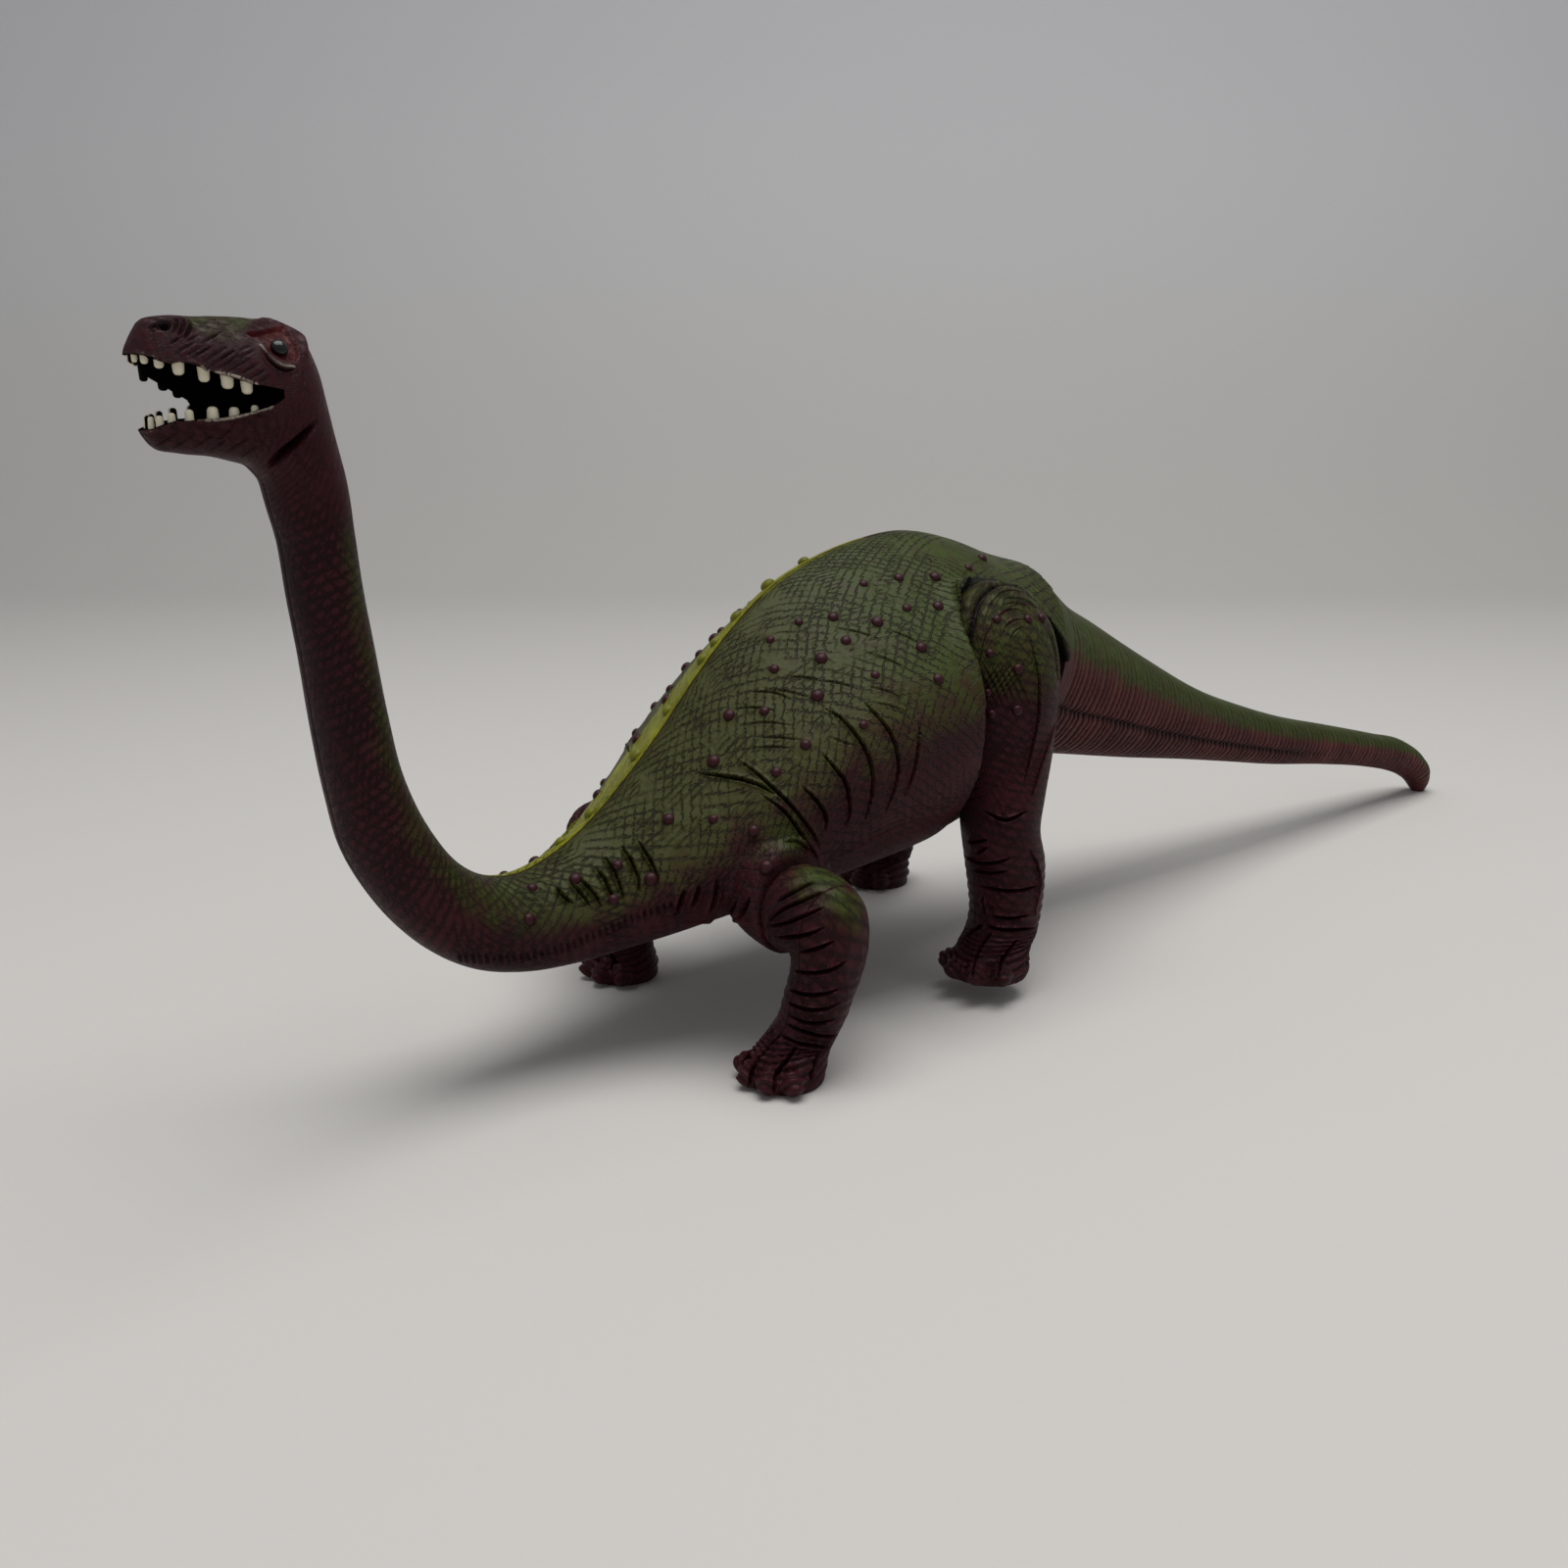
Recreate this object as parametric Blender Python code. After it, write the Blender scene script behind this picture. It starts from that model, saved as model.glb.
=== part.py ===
"""Toy dinosaur figure: hollow moulded shells with legs and a tail that turn.

Lengths are in metres. The head points to -X, the left side is -Y and +Z is up. The origin is on the
floor, under the middle of the figure.
"""
import math

import bmesh
import bpy
from mathutils import Vector

# Driving sizes of the whole figure
figure_length = 0.374
figure_height = 0.1267
body_width = 0.066

# Moulded shells
wall = 0.002
glue_gap = 0.0001
fit_gap = 0.0003
swing_gap = 0.0010
post_radius = 0.0024
peg_radius = 0.0011
peg_length = 0.003

# Hip: a thigh disc turns in an arched recess of the flank
thigh_radius = 0.013
hip_x_share = -0.0887
hip_height_share = 0.5404
hip_plane_share = 0.262
hip_split_share = 0.400
hind_lift = 0.004
hind_stride = 0.0335
hind_splay = 0.012
recess_front_slope = math.radians(5)
recess_rear_slope = math.radians(32)

# Shoulder: the upper arm turns against a flat round face
arm_radius = 0.008
shoulder_x_share = -0.2443
shoulder_height_share = 0.2289
shoulder_plane_share = 0.424
shoulder_split_share = 0.560
fore_stride = 0.0070
fore_splay = -0.0062
fore_split_lean = -0.003

# Tail ring
tail_ring_radius = 0.0214
tail_lip = 0.0008
tail_ring_x_share = -0.0334
tail_ring_height_share = 0.4871
tail_tilt = math.radians(15)

# Stems, washers and screws that hold the legs and the tail on
stem_radius = 0.0036
tail_stem_radius = 0.0056
stem_clearance = 0.0003
boss_length = 0.0072
washer_radius = 0.0052
tail_washer_radius = 0.0085
washer_thickness = 0.001
screw_head_radius = 0.0030
screw_head_height = 0.0018
screw_radius = 0.0013
screw_length = 0.009
recess_width = 0.0006
recess_depth = 0.0009
# The screw's outline: tip and crown of the radii, rim of the head's radius and height
screw_tip_share = 0.45
screw_crown_share = 0.62
screw_rim_share = 0.96
screw_rim_height_share = 0.60
recess_reach_share = 0.55

# Toes
toe_radius = 0.0025
toe_reach = 0.0042
toe_setback_share = 0.35

# Mouth
mouth_corner_x_share = -0.4503
mouth_corner_height_share = 0.9163
mouth_upper_slope = math.radians(12)
mouth_lower_slope = math.radians(11.5)
mouth_corner_gap = 0.0012
mouth_reach = 0.030

# The feet reach further out on one side, so the figure is moved across by this to stay centred
stance_offset = 0.00315

# How finely the skins are divided
body_segments = 24
cavity_segments = 16
tail_segments = 20
leg_segments = 16
round_segments = 16
post_segments = 12
toe_segments = 8
toe_steps = 5
arch_steps = 14
sharp_angle = math.radians(35)

# One overrun serves every cut
overrun = 0.005

# Torso, neck and head from the snout to the rump, each row one section seen from the side:
# top point x and height, bottom point x and height, half width, how far the sides sag and how
# narrow the back is. x is a share of the length, height of the height, half width of the body width.
body_section_shares = (
    (-0.500, 0.962, -0.498, 0.882, 0.036, 0.00, 0.00),
    (-0.495, 0.988, -0.494, 0.861, 0.061, 0.00, 0.00),
    (-0.487, 0.998, -0.484, 0.852, 0.079, 0.00, 0.00),
    (-0.474, 0.999, -0.472, 0.848, 0.095, 0.00, 0.00),
    (-0.461, 1.000, -0.465, 0.843, 0.112, 0.00, 0.00),
    (-0.449, 0.997, -0.461, 0.840, 0.124, 0.00, 0.00),
    (-0.436, 0.985, -0.458, 0.837, 0.127, 0.00, 0.00),
    (-0.430, 0.952, -0.456, 0.830, 0.123, 0.00, 0.00),
    (-0.427, 0.914, -0.453, 0.820, 0.115, 0.00, 0.00),
    (-0.424, 0.874, -0.452, 0.806, 0.106, 0.00, 0.00),
    (-0.420, 0.822, -0.451, 0.788, 0.098, 0.00, 0.00),
    (-0.418, 0.759, -0.448, 0.750, 0.095, 0.00, 0.00),
    (-0.416, 0.694, -0.446, 0.685, 0.092, 0.00, 0.00),
    (-0.413, 0.624, -0.443, 0.615, 0.097, 0.00, 0.00),
    (-0.409, 0.535, -0.440, 0.525, 0.103, 0.00, 0.00),
    (-0.404, 0.458, -0.436, 0.435, 0.105, 0.00, 0.00),
    (-0.397, 0.403, -0.431, 0.364, 0.108, 0.00, 0.00),
    (-0.390, 0.365, -0.422, 0.308, 0.109, 0.00, 0.00),
    (-0.383, 0.335, -0.410, 0.256, 0.112, 0.00, 0.00),
    (-0.374, 0.310, -0.393, 0.205, 0.117, 0.00, 0.00),
    (-0.363, 0.293, -0.374, 0.170, 0.126, 0.00, 0.06),
    (-0.348, 0.289, -0.351, 0.151, 0.145, 0.00, 0.18),
    (-0.331, 0.304, -0.328, 0.147, 0.174, 0.02, 0.39),
    (-0.311, 0.337, -0.304, 0.152, 0.214, 0.07, 0.54),
    (-0.288, 0.393, -0.281, 0.161, 0.280, 0.11, 0.64),
    (-0.266, 0.457, -0.259, 0.171, 0.340, 0.14, 0.68),
    (-0.245, 0.525, -0.239, 0.180, 0.394, 0.17, 0.70),
    (-0.220, 0.595, -0.216, 0.188, 0.440, 0.16, 0.68),
    (-0.194, 0.649, -0.191, 0.197, 0.474, 0.17, 0.65),
    (-0.167, 0.682, -0.164, 0.206, 0.492, 0.17, 0.60),
    (-0.135, 0.705, -0.135, 0.217, 0.500, 0.16, 0.53),
    (-0.103, 0.713, -0.107, 0.233, 0.485, 0.13, 0.43),
    (-0.074, 0.697, -0.084, 0.251, 0.447, 0.09, 0.32),
    (-0.045, 0.669, -0.064, 0.284, 0.379, 0.04, 0.19),
)
# The hollow starts at this row, behind the mouth
first_hollow_row = 8

# The tail behind its ring, in the same shares
tail_section_shares = (
    (0.010, 0.585, -0.016, 0.316, 0.268, 0.00, 0.00),
    (0.044, 0.536, 0.023, 0.296, 0.233, 0.00, 0.00),
    (0.074, 0.492, 0.054, 0.279, 0.206, 0.00, 0.00),
    (0.105, 0.448, 0.087, 0.261, 0.180, 0.00, 0.00),
    (0.171, 0.361, 0.159, 0.225, 0.137, 0.00, 0.00),
    (0.221, 0.312, 0.211, 0.197, 0.115, 0.00, 0.00),
    (0.269, 0.271, 0.262, 0.169, 0.104, 0.00, 0.00),
    (0.341, 0.222, 0.335, 0.136, 0.093, 0.00, 0.00),
    (0.409, 0.175, 0.402, 0.100, 0.085, 0.00, 0.00),
    (0.452, 0.143, 0.441, 0.072, 0.079, 0.00, 0.00),
    (0.482, 0.098, 0.464, 0.048, 0.072, 0.00, 0.00),
    (0.497, 0.056, 0.478, 0.026, 0.060, 0.00, 0.00),
    (0.499, 0.025, 0.484, 0.010, 0.045, 0.00, 0.00),
    (0.497, 0.000, 0.487, 0.000, 0.028, 0.00, 0.00),
)
# The tail is solid past this many of its rows
last_hollow_row = 7

# Thigh above the hip axis: rise and half thickness as shares of the thigh radius
thigh_dome_shares = (
    (0.986, 0.179),
    (0.864, 0.386),
    (0.650, 0.614),
    (0.357, 0.857),
)
thigh_dome_side_share = 0.288
# The dome stays at least this thick, as a share of its half depth
thigh_dome_least_share = 0.25
# Hind leg from the hip axis down: height as a share of the hip height, forward offset of the thigh
# radius, side offset of the body width, then half depth and half thickness of the thigh radius
hind_section_shares = (
    (1.000, 0.00, 0.288, 1.00, 1.02),
    (0.905, 0.00, 0.299, 0.98, 1.06),
    (0.788, -0.02, 0.312, 0.92, 1.00),
    (0.672, -0.05, 0.343, 0.80, 0.83),
    (0.555, -0.19, 0.385, 0.66, 0.67),
    (0.453, -0.29, 0.405, 0.61, 0.60),
    (0.360, -0.23, 0.415, 0.62, 0.61),
    (0.277, -0.22, 0.422, 0.59, 0.58),
    (0.200, -0.23, 0.424, 0.55, 0.55),
    (0.135, -0.31, 0.424, 0.55, 0.55),
    (0.075, -0.50, 0.424, 0.57, 0.56),
    (0.026, -0.54, 0.424, 0.60, 0.59),
    (0.000, -0.54, 0.424, 0.57, 0.56),
)
# A leg's step to the front or rear grows along this curve, and is complete at the foot's top
step_curve = 1.5
foot_top_share = 0.12

# Foreleg from the shoulder face to the sole: side offset of the body width, forward offset of the arm
# radius, height of the shoulder height, two half widths of the arm radius, and the section's turn in
# degrees from upright to level
fore_section_shares = (
    (0.424, 0.00, 1.000, 1.000, 1.000, 0),
    (0.470, 0.06, 1.007, 1.012, 0.988, 15),
    (0.528, 0.12, 0.945, 0.980, 0.960, 45),
    (0.549, 0.10, 0.803, 0.880, 0.840, 75),
    (0.549, 0.00, 0.672, 0.800, 0.790, 90),
    (0.543, -0.16, 0.534, 0.775, 0.760, 90),
    (0.533, -0.28, 0.400, 0.755, 0.750, 90),
    (0.520, -0.48, 0.290, 0.780, 0.770, 90),
    (0.508, -0.70, 0.180, 0.820, 0.820, 90),
    (0.503, -0.80, 0.069, 0.860, 0.840, 90),
    (0.503, -0.80, 0.000, 0.810, 0.790, 90),
)
# Shoulder muscle of the body, from inside the chest to the face that the arm turns against
shoulder_section_shares = (
    (0.120, 0.40, 1.320, 1.10, 1.10, 50),
    (0.275, 0.25, 1.185, 1.31, 1.31, 45),
    (0.362, 0.10, 1.065, 1.25, 1.25, 25),
    (0.424, 0.00, 1.000, 1.08, 1.08, 0),
)

# Locating posts inside the halves: x as a share of the length, height of the height
body_post_shares = ((-0.2465, 0.365), (-0.166, 0.600), (-0.151, 0.276))
tail_post_shares = ((0.052, 0.408),)
# Directions of the toes, in degrees from straight ahead towards the outer side
toe_turns = (-52, -14, 24, 60)

# Places that several pieces share
hip_x = figure_length * hip_x_share
hip_height = figure_height * hip_height_share
hip_plane = body_width * hip_plane_share
shoulder_x = figure_length * shoulder_x_share
shoulder_height = figure_height * shoulder_height_share
shoulder_plane = body_width * shoulder_plane_share
tail_ring_centre = Vector((figure_length * tail_ring_x_share, 0, figure_height * tail_ring_height_share))
tail_axis = Vector((math.cos(tail_tilt), 0, -math.sin(tail_tilt)))
tail_up = Vector((math.sin(tail_tilt), 0, math.cos(tail_tilt)))

# Side of the figure: the left is -Y
sides = {"left": -1, "right": 1}
# Faces between the eight corners of a box
box_faces = ((0, 1, 3, 2), (4, 6, 7, 5), (0, 4, 5, 1), (2, 3, 7, 6), (0, 2, 6, 4), (1, 5, 7, 3))

colours = {
    "body": (0.034, 0.020, 0.016),
    "tail": (0.040, 0.024, 0.018),
    "leg": (0.030, 0.015, 0.014),
    "washer": (0.62, 0.60, 0.55),
    "screw": (0.45, 0.46, 0.48),
}


def clear_scene():
    for thing in list(bpy.data.objects):
        bpy.data.objects.remove(thing, do_unlink=True)


def make_material(name, colour, roughness, metallic=0.0):
    material = bpy.data.materials.new(name)
    material.use_nodes = True
    shader = material.node_tree.nodes["Principled BSDF"]
    shader.inputs["Base Color"].default_value = (*colour, 1)
    shader.inputs["Roughness"].default_value = roughness
    shader.inputs["Metallic"].default_value = metallic
    return material


def new_object(name, mesh):
    thing = bpy.data.objects.new(name, mesh)
    bpy.context.scene.collection.objects.link(thing)
    return thing


def mark_as_guide(thing):
    """Keep a cutter or a guide out of the finished figure."""
    thing.hide_render = True
    thing.display_type = "WIRE"
    return thing


def closed_body(name, points, faces):
    """A closed body of flat triangles with its faces pointing out."""
    mesh = bpy.data.meshes.new(name)
    shape = bmesh.new()
    corners = [shape.verts.new(point) for point in points]
    for face in faces:
        shape.faces.new([corners[index] for index in face])
    bmesh.ops.triangulate(shape, faces=shape.faces[:])
    bmesh.ops.recalc_face_normals(shape, faces=shape.faces[:])
    shape.to_mesh(mesh)
    shape.free()
    return new_object(name, mesh)


def loft(name, rings):
    """Skin a row of equal rings and close both ends."""
    count = len(rings[0])
    points = [point for ring in rings for point in ring]
    faces = []
    for row in range(len(rings) - 1):
        for step in range(count):
            here = row * count + step
            beside = row * count + (step + 1) % count
            faces.append((here, beside, beside + count, here + count))
    faces.append(tuple(range(count)))
    last = (len(rings) - 1) * count
    faces.append(tuple(range(last, last + count)))
    return closed_body(name, points, faces)


def oval(centre, first_axis, second_axis, count, sag=0.0, peak=0.0):
    """Ring of points round a centre.

    Sag moves the widest part away from the first axis, and peak narrows the end that it points to.
    """
    points = []
    for step in range(count):
        turn = 2 * math.pi * (step + 0.5) / count
        rise = math.cos(turn)
        across = math.sin(turn) * (1 - sag * rise) * (1 - peak * max(rise, 0)**2)
        points.append(centre + first_axis * rise + second_axis * across)
    return points


def profile_rows(share_rows):
    """Side sections in metres: top x, top z, bottom x, bottom z, half width, sag, peak."""
    rows = []
    for top_x, top_z, bottom_x, bottom_z, half, sag, peak in share_rows:
        rows.append((figure_length * top_x, figure_height * top_z, figure_length * bottom_x,
                     figure_height * bottom_z, body_width * half, sag, peak))
    return rows


def tail_ring_row(shift, radius):
    """The round section at the tail ring, moved along the tail axis."""
    centre = tail_ring_centre + tail_axis * shift
    top = centre + tail_up * radius
    bottom = centre - tail_up * radius
    return (top.x, top.z, bottom.x, bottom.z, radius, 0.0, 0.0)


def profile_rings(rows, count, inset=0.0):
    rings = []
    for top_x, top_z, bottom_x, bottom_z, half, sag, peak in rows:
        top = Vector((top_x, 0, top_z))
        bottom = Vector((bottom_x, 0, bottom_z))
        centre = (top + bottom) / 2
        up = (top - bottom) / 2
        up = up.normalized() * (up.length - inset)
        rings.append(oval(centre, up, Vector((0, half - inset, 0)), count, sag, peak))
    return rings


def block(name, low, high):
    corners = []
    for x in (low[0], high[0]):
        for y in (low[1], high[1]):
            for z in (low[2], high[2]):
                corners.append((x, y, z))
    return closed_body(name, corners, box_faces)


def prism(name, outline, y_low, y_high):
    """An outline in the side plane, drawn across the figure."""
    count = len(outline)
    points = [(x, y_low, z) for x, z in outline] + [(x, y_high, z) for x, z in outline]
    faces = [tuple(range(count)), tuple(range(count, 2 * count))]
    for step in range(count):
        beside = (step + 1) % count
        faces.append((step, beside, beside + count, step + count))
    return closed_body(name, points, faces)


def rod(name, start, end, radius, count=round_segments):
    direction = (end - start).normalized()
    first = direction.orthogonal().normalized() * radius
    second = direction.cross(first).normalized() * radius
    return loft(name, [oval(start, first, second, count), oval(end, first, second, count)])


def combine(thing, tool, operation):
    """Live Boolean with a guide object."""
    change = thing.modifiers.new(tool.name, "BOOLEAN")
    change.operation = operation
    change.solver = "EXACT"
    change.object = mark_as_guide(tool)


def hang_on(thing, pivot):
    """Parent a piece to its joint's pivot without moving it."""
    thing.data.transform(pivot.matrix_basis.inverted())
    thing.parent = pivot


def make_pivot(name, place, tilt=0.0):
    pivot = new_object(name, None)
    pivot.location = place
    pivot.rotation_euler = (0, tilt, 0)
    pivot.empty_display_size = thigh_radius
    return pivot


def finish(thing, material):
    thing.data.materials.append(material)
    thing.data.shade_smooth()
    thing.data.set_sharp_from_angle(angle=sharp_angle)


def recess_outline(grow):
    """Arch of the flank that the thigh turns in: an arc with a side falling from each end."""
    radius = thigh_radius + swing_gap + grow
    points = []
    first_turn = math.pi - recess_front_slope
    last_turn = recess_rear_slope
    for step in range(arch_steps + 1):
        turn = first_turn + (last_turn - first_turn) * step / arch_steps
        points.append((hip_x + radius * math.cos(turn), hip_height + radius * math.sin(turn)))
    rear_x, rear_z = points[-1]
    front_x, front_z = points[0]
    rear_drop = rear_z + overrun
    front_drop = front_z + overrun
    points.append((rear_x + rear_drop * math.tan(recess_rear_slope), -overrun))
    points.append((front_x - front_drop * math.tan(recess_front_slope), -overrun))
    return points


def stem_end():
    """Distance from a limb's flat face to the end of its stem, inside the body."""
    return fit_gap + wall + fit_gap


def washer_start():
    return stem_end() + fit_gap


def head_start():
    """Distance from a limb's flat face to the underside of its screw's head."""
    return washer_start() + washer_thickness + fit_gap


def turned(name, base, direction, profile):
    """Solid of revolution about a line; the profile gives distance along it and radius."""
    first = direction.orthogonal().normalized()
    second = direction.cross(first)
    rings = []
    for along, radius in profile:
        rings.append(oval(base + direction * along, first * radius, second * radius, round_segments))
    return loft(name, rings)


def washer(name, face, inwards, radius):
    """Flat retaining washer over the end of a stem."""
    start = washer_start()
    end = start + washer_thickness
    disc = rod(name, face + inwards * start, face + inwards * end, radius)
    hole = rod(name + "_hole", face + inwards * (start - overrun), face + inwards * (end + overrun),
               screw_radius + fit_gap)
    combine(disc, hole, "DIFFERENCE")
    return disc


def screw(name, face, inwards):
    """Pan head screw whose shank reaches through the washer into the limb's stem."""
    seat = head_start()
    tip = seat - screw_length
    crown = seat + screw_head_height
    body = turned(name, face, inwards, (
        (tip, screw_radius * screw_tip_share), (tip + screw_radius, screw_radius),
        (seat, screw_radius), (seat, screw_head_radius),
        (seat + screw_head_height * screw_rim_height_share, screw_head_radius * screw_rim_share),
        (crown, screw_head_radius * screw_crown_share)))
    reach = screw_head_radius * recess_reach_share
    across = inwards.orthogonal().normalized()
    for turn, direction in enumerate((across, inwards.cross(across))):
        beside = inwards.cross(direction)
        corners = []
        for depth in (crown - recess_depth, crown + overrun):
            for along in (-reach, reach):
                for side in (-recess_width / 2, recess_width / 2):
                    corners.append(face + inwards * depth + direction * along + beside * side)
        combine(body, closed_body("%s_slot_%d" % (name, turn), corners, box_faces), "DIFFERENCE")
    return body


def stem(name, face, inwards, radius):
    """Stem of a limb, from inside the limb to just past the body's wall."""
    return rod(name, face - inwards * boss_length, face + inwards * stem_end(), radius)


def pilot_hole(name, face, inwards):
    """Hole of a limb's stem that the screw enters."""
    depth = head_start() - screw_length - fit_gap
    return rod(name, face + inwards * depth, face + inwards * (stem_end() + overrun),
               screw_radius + fit_gap)


def wall_hole(name, face, inwards, radius):
    """Hole in the body's wall that a stem turns in."""
    return rod(name, face, face + inwards * stem_end(), radius + stem_clearance)


def leg_progress(height):
    """How far a leg has stepped at a share of its joint's height: none at the joint, all at the foot."""
    return min(1.0, max(0.0, (1 - height) / (1 - foot_top_share))) ** step_curve


def limb_rings(share_rows, side, stride, splay, count, inset, face, floor):
    """Rings of an arm or a shoulder: they turn from upright at the joint to level lower down."""
    rings = []
    for out, ahead, height, half_x, half_other, turn in share_rows:
        progress = leg_progress(height)
        if shoulder_height * height < floor:
            continue
        angle = math.radians(turn)
        centre = Vector((shoulder_x + arm_radius * ahead + stride * progress,
                         side * (body_width * out + splay * progress), shoulder_height * height))
        other = Vector((0, side * math.sin(angle), math.cos(angle)))
        if turn == 0:
            centre.y = side * face
        rings.append(oval(centre, Vector((-(arm_radius * half_x - inset), 0, 0)),
                          other * (arm_radius * half_other - inset), count))
    return rings


def shoulder_solid(name, side, inset):
    face = shoulder_plane - fit_gap - inset
    return loft(name, limb_rings(shoulder_section_shares, side, 0, 0, leg_segments, inset, face, 0))


def body_guides():
    """The solid outside of the body and the hollow inside it, each a guide."""
    rows = profile_rows(body_section_shares)
    solid_rows = rows + [tail_ring_row(0, tail_ring_radius)]
    solid = loft("body_solid", profile_rings(solid_rows, body_segments))
    hollow_rows = rows[first_hollow_row:] + [tail_ring_row(-wall, tail_ring_radius)]
    hollow = loft("body_hollow", profile_rings(hollow_rows, cavity_segments, wall))

    for side_name, side in sides.items():
        combine(solid, shoulder_solid("shoulder_bulge_" + side_name, side, 0), "UNION")
        combine(hollow, shoulder_solid("shoulder_hollow_" + side_name, side, wall), "UNION")
    floor = hip_plane - fit_gap
    for side_name, side in sides.items():
        cut = prism("hip_recess_" + side_name, recess_outline(0),
                    *sorted((side * floor, side * body_width)))
        combine(solid, cut, "DIFFERENCE")
        keep = prism("hip_recess_wall_" + side_name, recess_outline(wall),
                     *sorted((side * (floor - wall), side * body_width)))
        combine(hollow, keep, "DIFFERENCE")
    for index, (x_share, z_share) in enumerate(body_post_shares):
        post = cross_rod("body_post_%d" % index, x_share, z_share, -body_width, body_width, post_radius)
        combine(hollow, post, "DIFFERENCE")
    combine(solid, mouth_cutter(), "DIFFERENCE")
    return mark_as_guide(solid), mark_as_guide(hollow)


def cross_rod(name, x_share, z_share, start, end, radius):
    """Rod across the figure at a place in the side plane."""
    place = Vector((figure_length * x_share, 0, figure_height * z_share))
    return rod(name, place + Vector((0, start, 0)), place + Vector((0, end, 0)), radius, post_segments)


def mouth_cutter():
    """Open mouth: a wedge between the jaws, through the whole width of the head."""
    corner_x = figure_length * mouth_corner_x_share
    corner_z = figure_height * mouth_corner_height_share
    upper_z = corner_z + mouth_corner_gap / 2
    lower_z = corner_z - mouth_corner_gap / 2
    outline = (
        (corner_x, upper_z),
        (corner_x - mouth_reach * math.cos(mouth_upper_slope),
         upper_z + mouth_reach * math.sin(mouth_upper_slope)),
        (corner_x - mouth_reach * math.cos(mouth_lower_slope),
         lower_z - mouth_reach * math.sin(mouth_lower_slope)),
        (corner_x, lower_z),
    )
    return prism("mouth_cut", outline, -body_width, body_width)


def half_block(name, side):
    """Everything on one side of the middle plane."""
    low, high = sorted((side * glue_gap / 2, side * body_width))
    return block(name, (-figure_length, low, -overrun), (figure_length, high, 2 * figure_height))


def add_pegs(shells, post_shares, name):
    """Pegs on the left half that enter sockets of the right half."""
    for index, (x_share, z_share) in enumerate(post_shares):
        peg = cross_rod("%s_peg_%d" % (name, index), x_share, z_share, -peg_length, peg_length,
                        peg_radius)
        combine(shells["left"], peg, "UNION")
        socket = cross_rod("%s_socket_%d" % (name, index), x_share, z_share, -peg_length,
                           peg_length + fit_gap, peg_radius + fit_gap)
        combine(shells["right"], socket, "DIFFERENCE")


def make_body():
    solid, hollow = body_guides()
    shells = {}
    tail_hole = rod("tail_stem_hole", tail_ring_centre + tail_axis * overrun,
                    tail_ring_centre - tail_axis * (wall + fit_gap), tail_stem_radius + stem_clearance)
    for side_name, side in sides.items():
        shell = half_block("body_shell_" + side_name, side)
        combine(shell, solid, "INTERSECT")
        combine(shell, hollow, "DIFFERENCE")
        inwards = Vector((0, -side, 0))
        hip_face = Vector((hip_x, side * hip_plane, hip_height))
        shoulder_face = Vector((shoulder_x, side * shoulder_plane, shoulder_height))
        combine(shell, wall_hole("hip_hole_" + side_name, hip_face, inwards, stem_radius), "DIFFERENCE")
        combine(shell, wall_hole("shoulder_hole_" + side_name, shoulder_face, inwards, stem_radius),
                "DIFFERENCE")
        combine(shell, tail_hole, "DIFFERENCE")
        finish(shell, make_material("body_%s_plastic" % side_name, colours["body"], 0.5))
        shells[side_name] = shell
    add_pegs(shells, body_post_shares, "body")


def make_tail():
    pivot = make_pivot("tail_pivot", tail_ring_centre, tail_tilt)
    rows = profile_rows(tail_section_shares)
    solid_rows = [tail_ring_row(fit_gap, tail_ring_radius - tail_lip)] + rows
    solid = loft("tail_solid", profile_rings(solid_rows, tail_segments))
    face = tail_ring_centre + tail_axis * fit_gap
    inwards = -tail_axis
    combine(solid, stem("tail_stem", face, inwards, tail_stem_radius), "UNION")
    hollow_rows = [tail_ring_row(fit_gap + wall, tail_ring_radius - tail_lip)] + rows[:last_hollow_row]
    hollow = loft("tail_hollow", profile_rings(hollow_rows, cavity_segments, wall))
    combine(hollow, stem("tail_boss", face, inwards, tail_stem_radius), "DIFFERENCE")
    for index, (x_share, z_share) in enumerate(tail_post_shares):
        post = cross_rod("tail_post_%d" % index, x_share, z_share, -body_width, body_width, post_radius)
        combine(hollow, post, "DIFFERENCE")
    mark_as_guide(solid)
    mark_as_guide(hollow)
    hole = pilot_hole("tail_pilot_hole", face, inwards)
    shells = {}
    for side_name, side in sides.items():
        shell = half_block("tail_shell_" + side_name, side)
        combine(shell, solid, "INTERSECT")
        combine(shell, hollow, "DIFFERENCE")
        combine(shell, hole, "DIFFERENCE")
        finish(shell, make_material("tail_%s_plastic" % side_name, colours["tail"], 0.5))
        hang_on(shell, pivot)
        shells[side_name] = shell
    add_pegs(shells, tail_post_shares, "tail")
    add_hardware("tail", face, inwards, tail_washer_radius, pivot)


def add_hardware(joint_name, face, inwards, radius, pivot):
    ring = washer(joint_name + "_washer", face, inwards, radius)
    finish(ring, make_material(joint_name + "_washer_nylon", colours["washer"], 0.45))
    hang_on(ring, pivot)
    fastener = screw(joint_name + "_screw", face, inwards)
    finish(fastener, make_material(joint_name + "_screw_steel", colours["screw"], 0.35, 1.0))
    hang_on(fastener, pivot)


def split_block(name, side, outer, split, slant, height):
    """Everything outside or inside a leg's parting plane, which leans out by slant at the floor."""
    offset = glue_gap / 2 if outer else -glue_gap / 2
    corners = []
    for x in (-figure_length, figure_length):
        for z in (-overrun, 2 * height):
            near = split + offset + slant * (height - z) / height
            far = 2 * body_width if outer else 0
            for y in (near, far):
                corners.append((x, side * y, z))
    return closed_body(name, corners, box_faces)


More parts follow.
